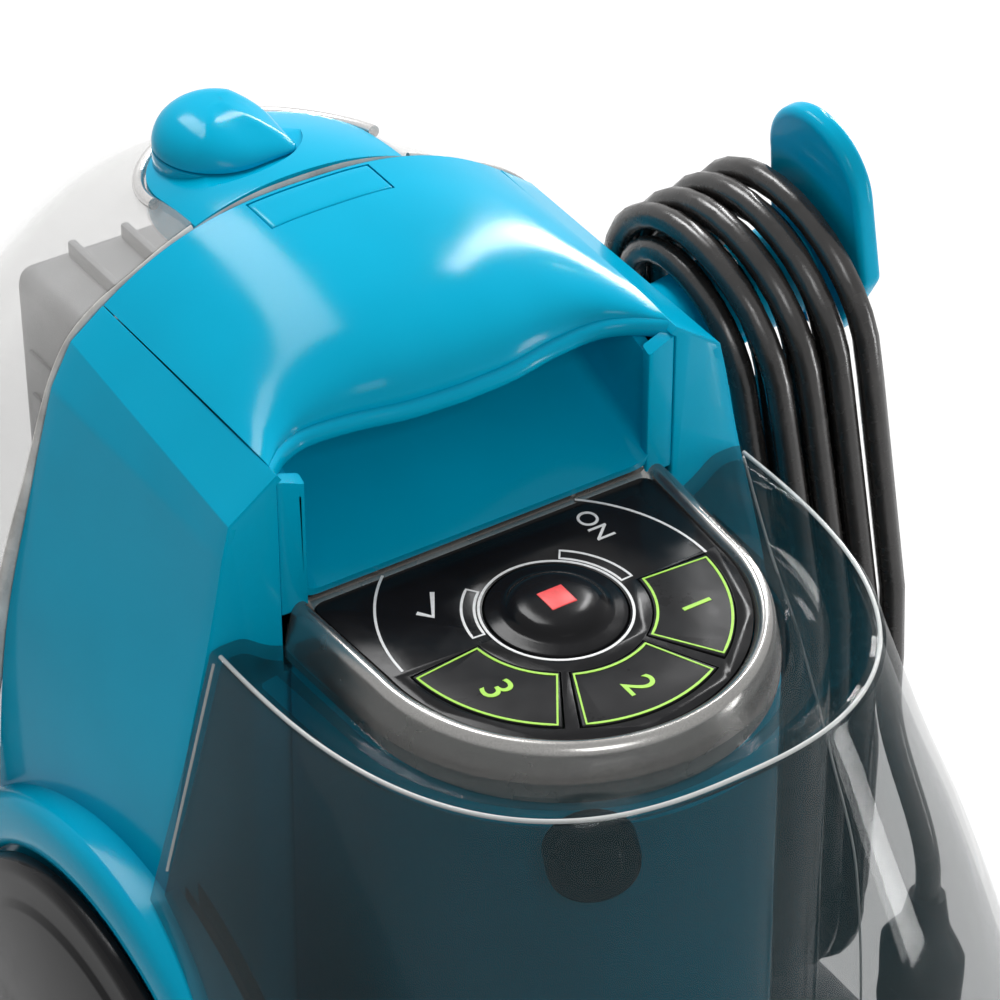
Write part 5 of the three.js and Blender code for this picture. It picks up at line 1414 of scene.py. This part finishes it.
class OBJECT_OT_extractor_hooks(PieceOperator):
    """Turning upper hook with its tall paddle, and the fixed lower hook"""

    bl_idname = "object.extractor_hooks"
    bl_label = "Cord hooks"

    pivot = Vector((73.6, -7, 284.4))  # the upper hook is drawn round x through zero and moved here
    lower_y, lower_z = -12, 98.6

    def upper(self):
        half, middle, top = 18, -13, 52  # the paddle's half width, its middle and its tip over the pivot
        foot, radius = -3, 14  # its rounded lower corners
        outline = arc(middle, top - half, half, 0, 180, 40)
        outline += [(middle - half, 22), (middle - half, 10)]
        outline += arc(-6, foot, radius, 210, 270, 10) + arc(-4, foot, radius, 270, 360, 14)
        paddle = rounded(plate("hook_paddle", outline, "x", 45.5, 51.5), 2.2, 6)
        post = [(0, 2.6), (11.4, 2.6), (12, 3.2), (12, 44), (13.4, 45.4), (13.4, 46), (0, 46)]
        post = turned("hook_post", post, (0, 0, 0), "x", 64)
        stub = [(0, -12), (10, -12), (10, -8), (6, -8), (6, 3), (0, 3)]
        joined(paddle, post, turned("hook_pivot", stub, (0, 0, 0), "x", 48))
        lean = Matrix.Rotation(-math.atan(CORD_LEAN), 4, "Y")
        paddle.data.transform(Matrix.Translation(self.pivot * MM) @ lean)
        return paddle

    def lower(self):
        y, z = self.lower_y, self.lower_z
        outline = arc(y, z + 2, 14, 0, 180, 30) + arc(y, z - 22, 14, 180, 360, 30)
        flange = rounded(plate("low_flange", outline, "x", 131.2, 135.7), 1.6, 5)
        post = [(0, 93.4), (12, 93.4), (12, 130), (13.2, 131.4), (13.2, 132), (0, 132)]
        return joined(flange, turned("low_post", post, (0, y, z), "x", 64))

    def execute(self, context):
        finished(self.upper(), "hook", "teal", ["cord_hook"])
        finished(self.lower(), "machine", "teal", ["lower_cord_hook"])
        return {"FINISHED"}


BASE_HALF, BASE_LENGTH, BASE_POWER = 136, 200, 2.6  # the base's half width and length, and how square it is


def base_skin(name, levels, steps=128):
    """A closed skin through levels of (inset from the base's outline, height)."""
    rings = []
    for inset, z in levels:
        half, length = BASE_HALF - inset, BASE_LENGTH - inset
        outline = [superellipse(half, length, BASE_POWER, i / steps) for i in range(steps)]
        rings.append(at_height(outline, z))
    return ring_surface(name, rings, ends=True)


class OBJECT_OT_extractor_base(PieceOperator):
    """Base pan and deck, feet, hose port and the nozzles under the front"""

    bl_idname = "object.extractor_base"
    bl_label = "Base"

    nozzle_y = -166
    slot_half = 52  # half the suction slot's width
    port = Vector((0, -118, 33))  # the hose port's axis runs along X through this
    foot_x, foot_y = 92, 140

    def slot(self, name, low, high):
        y = self.nozzle_y
        return block(name, (-self.slot_half, y - 4, low), (self.slot_half, y + 4, high))

    def pan(self):
        wall = self.size("wall") + 0.6
        outside = [
            (11, 10), (9.6, 10.3), (8.9, 11.2), (5, 18), (2.4, 33), (0.5, 44), (0.2, 49.2), (0.6, 49.7),
        ]
        inside = [(9, 13), (5, 20), (2.4, 33), (0, 49), (0, 52)]
        pan = base_skin("pan", outside)
        combined(pan, base_skin("pan_room", [(inset + wall, z) for inset, z in inside]))
        combined(pan, rod("brush_opening", 72, 2, 16, (0, RING_Y, 0), steps=128))
        combined(pan, self.slot("slot_opening", 2, 16))
        return combined(pan, rod("port_opening", 17.3, -140, -90, self.port, "x", 64))

    def deck(self):
        """The deck, with holes for the brush drive, the suction duct and the front tank's valve."""
        deck = base_skin("deck", [(0.6, 50.02), (0, 50.6), (0, 54.6), (0.4, 55.5), (1.4, 56), (3.4, 56)])
        for x, y, radius in [(0, RING_Y, 6.3), (-50, -20, 12), (VALVE.x, VALVE.y, 18)]:
            combined(deck, rod("deck_hole", radius, 40, 70, (x, y, 0), steps=64))
        return deck

    def feet(self):
        profile = [
            (0, 0.6), (5, 0.6), (6, 0.2), (9.6, 0), (10.6, 0.5), (11, 1.6), (11, 8.6), (10.6, 9.4),
            (9.8, 9.7), (0, 9.7),
        ]
        for end, y in (("front", -self.foot_y), ("rear", self.foot_y)):
            for side, x in (("left", -self.foot_x), ("right", self.foot_x)):
                pad = turned(f"pad_{side}_{end}", profile, (x, y, 0))
                finished(pad, "machine", "rubber", [f"foot_{side}_{end}"])

    def hose_port(self):
        profile = [
            (13, -132), (13.8, -132), (20, -132), (20.8, -131.6), (21, -130.8), (21, -128.6), (20.4, -128),
            (17, -128), (17, -100), (13, -100),
        ]
        return turned("port", profile, self.port, "x", 96)

    def shoe(self):
        """The suction nozzle: a tapered block with a slot."""
        corners = ((-1, -1), (1, -1), (1, 1), (-1, 1))
        rings = [
            [(half * x, self.nozzle_y + reach * y, z) for x, y in corners]
            for half, reach, z in [(58, 8, 2.5), (54, 7, 9.7)]
        ]
        shoe = ring_surface("shoe", rings, ends=True)
        combined(shoe, self.slot("shoe_slot", 0, 12))
        return rounded(shoe, 0.6, 3)

    def jet(self):
        """The spray nozzle and the block it hangs from."""
        x, y = 38, self.nozzle_y + 20
        profile = [(0, 14.6), (1, 14.6), (1.4, 14), (2.6, 14), (3, 14.6), (5, 20), (5, 35), (0, 35)]
        mount = block("jet_mount", (x - 8, y - 6, 34), (x + 8, y + 6, 49.6))
        return joined(turned("jet", profile, (x, y, 0)), rounded(mount, 0.8, 3))

    def execute(self, context):
        finished(self.pan(), "machine", "charcoal", ["base_pan"])
        finished(self.deck(), "machine", "charcoal", ["base_deck"])
        self.feet()
        finished(self.hose_port(), "machine", "key_black", ["hose_port"])
        finished(self.shoe(), "machine", "key_black", ["suction_nozzle"])
        finished(self.jet(), "machine", "grey", ["spray_nozzle"])
        return {"FINISHED"}


class OBJECT_OT_extractor_brushes(PieceOperator):
    """Turntable under the base and its two tufted brushes"""

    bl_idname = "object.extractor_brushes"
    bl_label = "Brushes"

    arm = 33  # from the turntable's middle to that of each brush
    tuft_rings = ((8, 3), (21, 8))  # radius, tufts on it
    bristles = 9  # in each tuft
    golden_angle = 2.4  # radians; from one bristle of a tuft to the next, which spreads them evenly

    def turntable(self):
        profile = [
            (0, 24), (64.6, 24), (65.6, 24.4), (66, 25.2), (66, 28), (65.4, 28.8), (64.4, 29), (14, 29),
            (14, 33.4), (13.2, 34), (6, 34), (6, 70), (0, 70),
        ]
        disc = turned("turntable_disc", profile, (0, RING_Y, 0), steps=96)
        for side in (-1, 1):
            combined(disc, rod("pin_room", 4.2, 20, 40, (side * self.arm, RING_Y, 0), steps=48))
        return disc

    def brush_back(self, name, x):
        profile = [
            (0, 15.5), (26.2, 15.5), (27, 16.2), (27, 19.2), (26.2, 20), (12.6, 21.4), (12, 22), (12, 23.6),
            (4, 23.6), (4, 31), (0, 31),
        ]
        return turned(f"brush_{name}_back", profile, (x, RING_Y, 0), steps=72)

    def tufts(self, name, x):
        """Bunches of bristles, each bunch a spiral, with tips of slightly different lengths."""
        made = []
        for radius, count in self.tuft_rings:
            for i in range(count):
                angle = 2 * math.pi * i / count
                bunch = Vector((x + radius * math.cos(angle), RING_Y + radius * math.sin(angle), 0))
                for k in range(self.bristles):
                    swing, out = self.golden_angle * k, 0.9 * math.sqrt(k)
                    root = bunch + Vector((out * math.cos(swing), out * math.sin(swing), 0))
                    tip = 1.2 + 0.15 * (k % 3)
                    bristle = [(0, tip), (0.5, 1.5), (0.75, 16), (0, 16)]
                    made.append(turned("tuft", bristle, root, steps=7))
        bristles = joined(*made)
        bristles.name = f"brush_{name}_tufts"
        return bristles

    def execute(self, context):
        finished(self.turntable(), "turntable_body", "key_black", ["turntable"])
        for name, x in (("left", -self.arm), ("right", self.arm)):
            body = f"brush_{name[0]}"
            finished(self.brush_back(name, x), body, "grey")
            finished(self.tufts(name, x), body, "bristle", [f"brush_{name}"], 60)
        return {"FINISHED"}


class OBJECT_OT_extractor_works(PieceOperator):
    """Inner works: bulkhead, control board, suction motor and fan, pump and brush motor"""

    bl_idname = "object.extractor_works"
    bl_label = "Inner works"

    motor_axis = Vector((0, -8, 0))
    pump_axis = Vector((59, -8, 0))

    def motor(self):
        profile = [
            (0, 56.3), (27, 56.3), (28, 57), (28, 62), (31, 66), (31, 70), (30, 71), (30, 133), (31, 134),
            (31, 140), (27.6, 143.6), (27, 144.4), (27, 148), (4.2, 148), (4.2, 128), (0, 128),
        ]
        body = turned("motor_can", profile, self.motor_axis)
        vents = []
        for i in range(6):
            low, high = Vector((29.4, -3, 78 + 9 * i)), Vector((30.6, 3, 82 + 9 * i))
            vents.append(rounded(block("vent", self.motor_axis + low, self.motor_axis + high), 0.3, 2))
        return joined(body, *vents)

    def fan(self):
        profile = [
            (0, 132), (4, 132), (4, 150), (27, 150), (27, 151), (26.4, 152.4), (9, 152.4), (9, 163.4),
            (8.4, 164), (0, 164),
        ]
        wheel = turned("fan_wheel", profile, self.motor_axis)
        blades = []
        for i in range(8):
            blade = block("blade", (7.5, 3, 151.6), (25.5, 5, 162.5))
            turn = Matrix.Rotation(i * math.pi / 4, 4, "Z")
            blade.data.transform(Matrix.Translation(self.motor_axis * MM) @ turn)
            blades.append(blade)
        return joined(wheel, *blades)

    def shroud(self):
        profile = [
            (29.6, 148.3), (32.4, 148.3), (32.4, 168), (31.4, 169.6), (30, 170), (14.6, 170), (14, 169.4),
            (14, 167), (29.6, 167),
        ]
        return turned("fan_shroud", profile, self.motor_axis)

    def pump(self):
        body = rounded(block("pump_body", (44, -28, 56.3), (74, 10, 100.3)), 2, 4)
        head = [
            (0, 99), (11, 99), (11, 104), (10, 105), (10, 118), (11, 119), (11, 121.6), (10.4, 122.3),
            (0, 122.3),
        ]
        return joined(body, turned("pump_head", head, self.pump_axis))

    def drive(self):
        profile = [
            (0, 74.3), (6.2, 74.3), (6.2, 56.3), (31, 56.3), (32, 57.2), (32, 77.6), (31, 78.6), (24, 80.3),
            (24, 84), (23.2, 85), (23.2, 124), (24, 125), (24, 130), (22, 132), (18, 134.3), (0, 134.3),
        ]
        return turned("drive_motor", profile, (0, RING_Y, 0))

    def execute(self, context):
        finished(self.motor(), "machine", "steel", ["suction_motor"])
        finished(self.fan(), "impeller_body", "grey", ["impeller"])
        finished(self.shroud(), "machine", "grey", ["fan_housing"])
        finished(self.pump(), "machine", "grey", ["pump"])
        finished(self.drive(), "machine", "steel", ["brush_motor"])
        for node, look in (("rear_bulkhead", "grey"), ("control_board", "board")):
            finished(cad_copy(node), "machine", look, [node])
        return {"FINISHED"}


class SCENE_OT_extractor_stage(bpy.types.Operator):
    """White ground that keeps the object's shadow, white world, soft boxes and the camera"""

    bl_idname = "scene.extractor_stage"
    bl_label = "Stage, lights and camera"
    bl_options = {"REGISTER", "UNDO"}

    # This operator works in metres, watts and degrees.
    target = Vector((0, -0.02, 0.17))
    camera_place = (-0.40518, -0.67099, 0.82659)
    camera_turn = (54.21, 0, -33.35)
    camera_lens = 144.04  # on a sensor of 36 mm
    soft_boxes = {  # name: place, width, height, watts
        "right": ((1.0, 0.5, 0.45), 0.09, 0.8, 5),
        "shoulder": ((0.85, 0.62, 0.84), 0.08, 0.9, 9),
        "top": ((0.1, 0.6, 1.25), 0.25, 0.7, 11),
        "front": ((-0.15, -1.2, 1.1), 0.5, 0.5, 5),
        "low": ((0.62, -0.5, 0.08), 0.1, 0.4, 2.2),
    }
    ground_white = 0.9  # the floor's own colour
    ground_glow = 0.8  # how far it is plain white for the rays that show the background
    room_strength = 0.34

    def seen_rays(self, tree):
        """1 for the rays that show the white background: camera, mirrored and see-through ones."""
        path = tree.nodes.new("ShaderNodeLightPath")
        seen = path.outputs["Is Camera Ray"]
        for ray in ("Is Glossy Ray", "Is Transmission Ray"):
            larger = tree.nodes.new("ShaderNodeMath")
            larger.operation = "MAXIMUM"
            tree.links.new(seen, larger.inputs[0])
            tree.links.new(path.outputs[ray], larger.inputs[1])
            seen = larger.outputs[0]
        return seen

    def blended(self, tree, share, plain, white, surface):
        """Shows plain, and white as far as share says."""
        blend = tree.nodes.new("ShaderNodeMixShader")
        for source, socket in zip((share, plain.outputs[0], white.outputs[0]), blend.inputs):
            tree.links.new(source, socket)
        tree.links.new(blend.outputs[0], surface)

    def floor(self):
        bpy.ops.mesh.primitive_plane_add(size=8, location=(0, 0, -0.0004))
        floor = bpy.context.object
        floor.name = "ground"
        material = bpy.data.materials.new("ground_white")
        material.use_nodes = True
        tree = material.node_tree
        tree.nodes.clear()
        out = tree.nodes.new("ShaderNodeOutputMaterial")
        matt = tree.nodes.new("ShaderNodeBsdfDiffuse")
        matt.inputs["Color"].default_value = (*[self.ground_white] * 3, 1)
        glow = tree.nodes.new("ShaderNodeEmission")
        glow.inputs["Strength"].default_value = 1.0
        share = tree.nodes.new("ShaderNodeMath")
        share.operation = "MULTIPLY"
        share.inputs[1].default_value = self.ground_glow
        tree.links.new(self.seen_rays(tree), share.inputs[0])
        self.blended(tree, share.outputs[0], matt, glow, out.inputs["Surface"])
        floor.data.materials.append(material)

    def world(self):
        world = bpy.context.scene.world or bpy.data.worlds.new("white_room")
        bpy.context.scene.world = world
        world.use_nodes = True
        tree = world.node_tree
        tree.nodes.clear()
        out = tree.nodes.new("ShaderNodeOutputWorld")
        room, backdrop = tree.nodes.new("ShaderNodeBackground"), tree.nodes.new("ShaderNodeBackground")
        for light, strength in ((room, self.room_strength), (backdrop, 1.0)):
            light.inputs["Color"].default_value = (1, 1, 1, 1)
            light.inputs["Strength"].default_value = strength
        self.blended(tree, self.seen_rays(tree), room, backdrop, out.inputs["Surface"])

    def lights(self):
        for name, (place, width, height, watts) in self.soft_boxes.items():
            aim = (self.target - Vector(place)).to_track_quat("-Z", "Y").to_euler()
            bpy.ops.object.light_add(type="AREA", location=place, rotation=aim)
            lamp = bpy.context.object
            lamp.name = f"softbox_{name}"
            lamp.data.shape = "RECTANGLE"
            lamp.data.size, lamp.data.size_y = width, height
            lamp.data.energy = watts

    def camera(self):
        turn = Euler([math.radians(angle) for angle in self.camera_turn])
        bpy.ops.object.camera_add(location=self.camera_place, rotation=turn)
        camera = bpy.context.object
        camera.name = "photo_camera"
        camera.data.sensor_width = 36
        camera.data.lens = self.camera_lens
        camera.data.clip_start = 0.05
        bpy.context.scene.camera = camera

    def execute(self, context):
        self.floor()
        self.world()
        self.lights()
        self.camera()
        bpy.context.scene.view_settings.view_transform = "Standard"
        return {"FINISHED"}


PIECES = (
    OBJECT_OT_extractor_cord, OBJECT_OT_extractor_hooks, OBJECT_OT_extractor_cover, OBJECT_OT_extractor_sides,
    OBJECT_OT_extractor_grip, OBJECT_OT_extractor_pedestal, OBJECT_OT_extractor_panel,
    OBJECT_OT_extractor_solution_tank, OBJECT_OT_extractor_recovery_tank, OBJECT_OT_extractor_cap,
    OBJECT_OT_extractor_hub, OBJECT_OT_extractor_base, OBJECT_OT_extractor_brushes, OBJECT_OT_extractor_works,
)


class VIEW3D_PT_extractor(bpy.types.Panel):
    """Sizes, colours and the steps that build the machine"""

    bl_label = "Spot Extractor"
    bl_idname = "VIEW3D_PT_extractor"
    bl_space_type = "VIEW_3D"
    bl_region_type = "UI"
    bl_category = "Spot Extractor"

    def draw(self, context):
        layout = self.layout
        for group in (context.scene.extractor_sizes, context.scene.extractor_colours):
            column = layout.column(align=True)
            for name in group.__annotations__:
                column.prop(group, name)
        column = layout.column(align=True)
        for piece in (SCENE_OT_extractor_stage, *PIECES):
            column.operator(piece.bl_idname)


CLASSES = (ExtractorSizes, ExtractorColours, SCENE_OT_extractor_stage, *PIECES, VIEW3D_PT_extractor)


def register():
    for cls in CLASSES:
        bpy.utils.register_class(cls)
    bpy.types.Scene.extractor_sizes = bpy.props.PointerProperty(type=ExtractorSizes)
    bpy.types.Scene.extractor_colours = bpy.props.PointerProperty(type=ExtractorColours)


def unregister():
    del bpy.types.Scene.extractor_colours
    del bpy.types.Scene.extractor_sizes
    for cls in reversed(CLASSES):
        bpy.utils.unregister_class(cls)


def main():
    register()
    bpy.ops.scene.extractor_stage()
    bpy.ops.object.extractor_cord()
    bpy.ops.object.extractor_hooks()
    bpy.ops.object.extractor_cover()
    bpy.ops.object.extractor_sides()
    bpy.ops.object.extractor_grip()
    bpy.ops.object.extractor_pedestal()
    bpy.ops.object.extractor_panel()
    bpy.ops.object.extractor_solution_tank()
    bpy.ops.object.extractor_recovery_tank()
    bpy.ops.object.extractor_cap()
    bpy.ops.object.extractor_hub()
    bpy.ops.object.extractor_base()
    bpy.ops.object.extractor_brushes()
    bpy.ops.object.extractor_works()


if __name__ == "__main__":
    main()
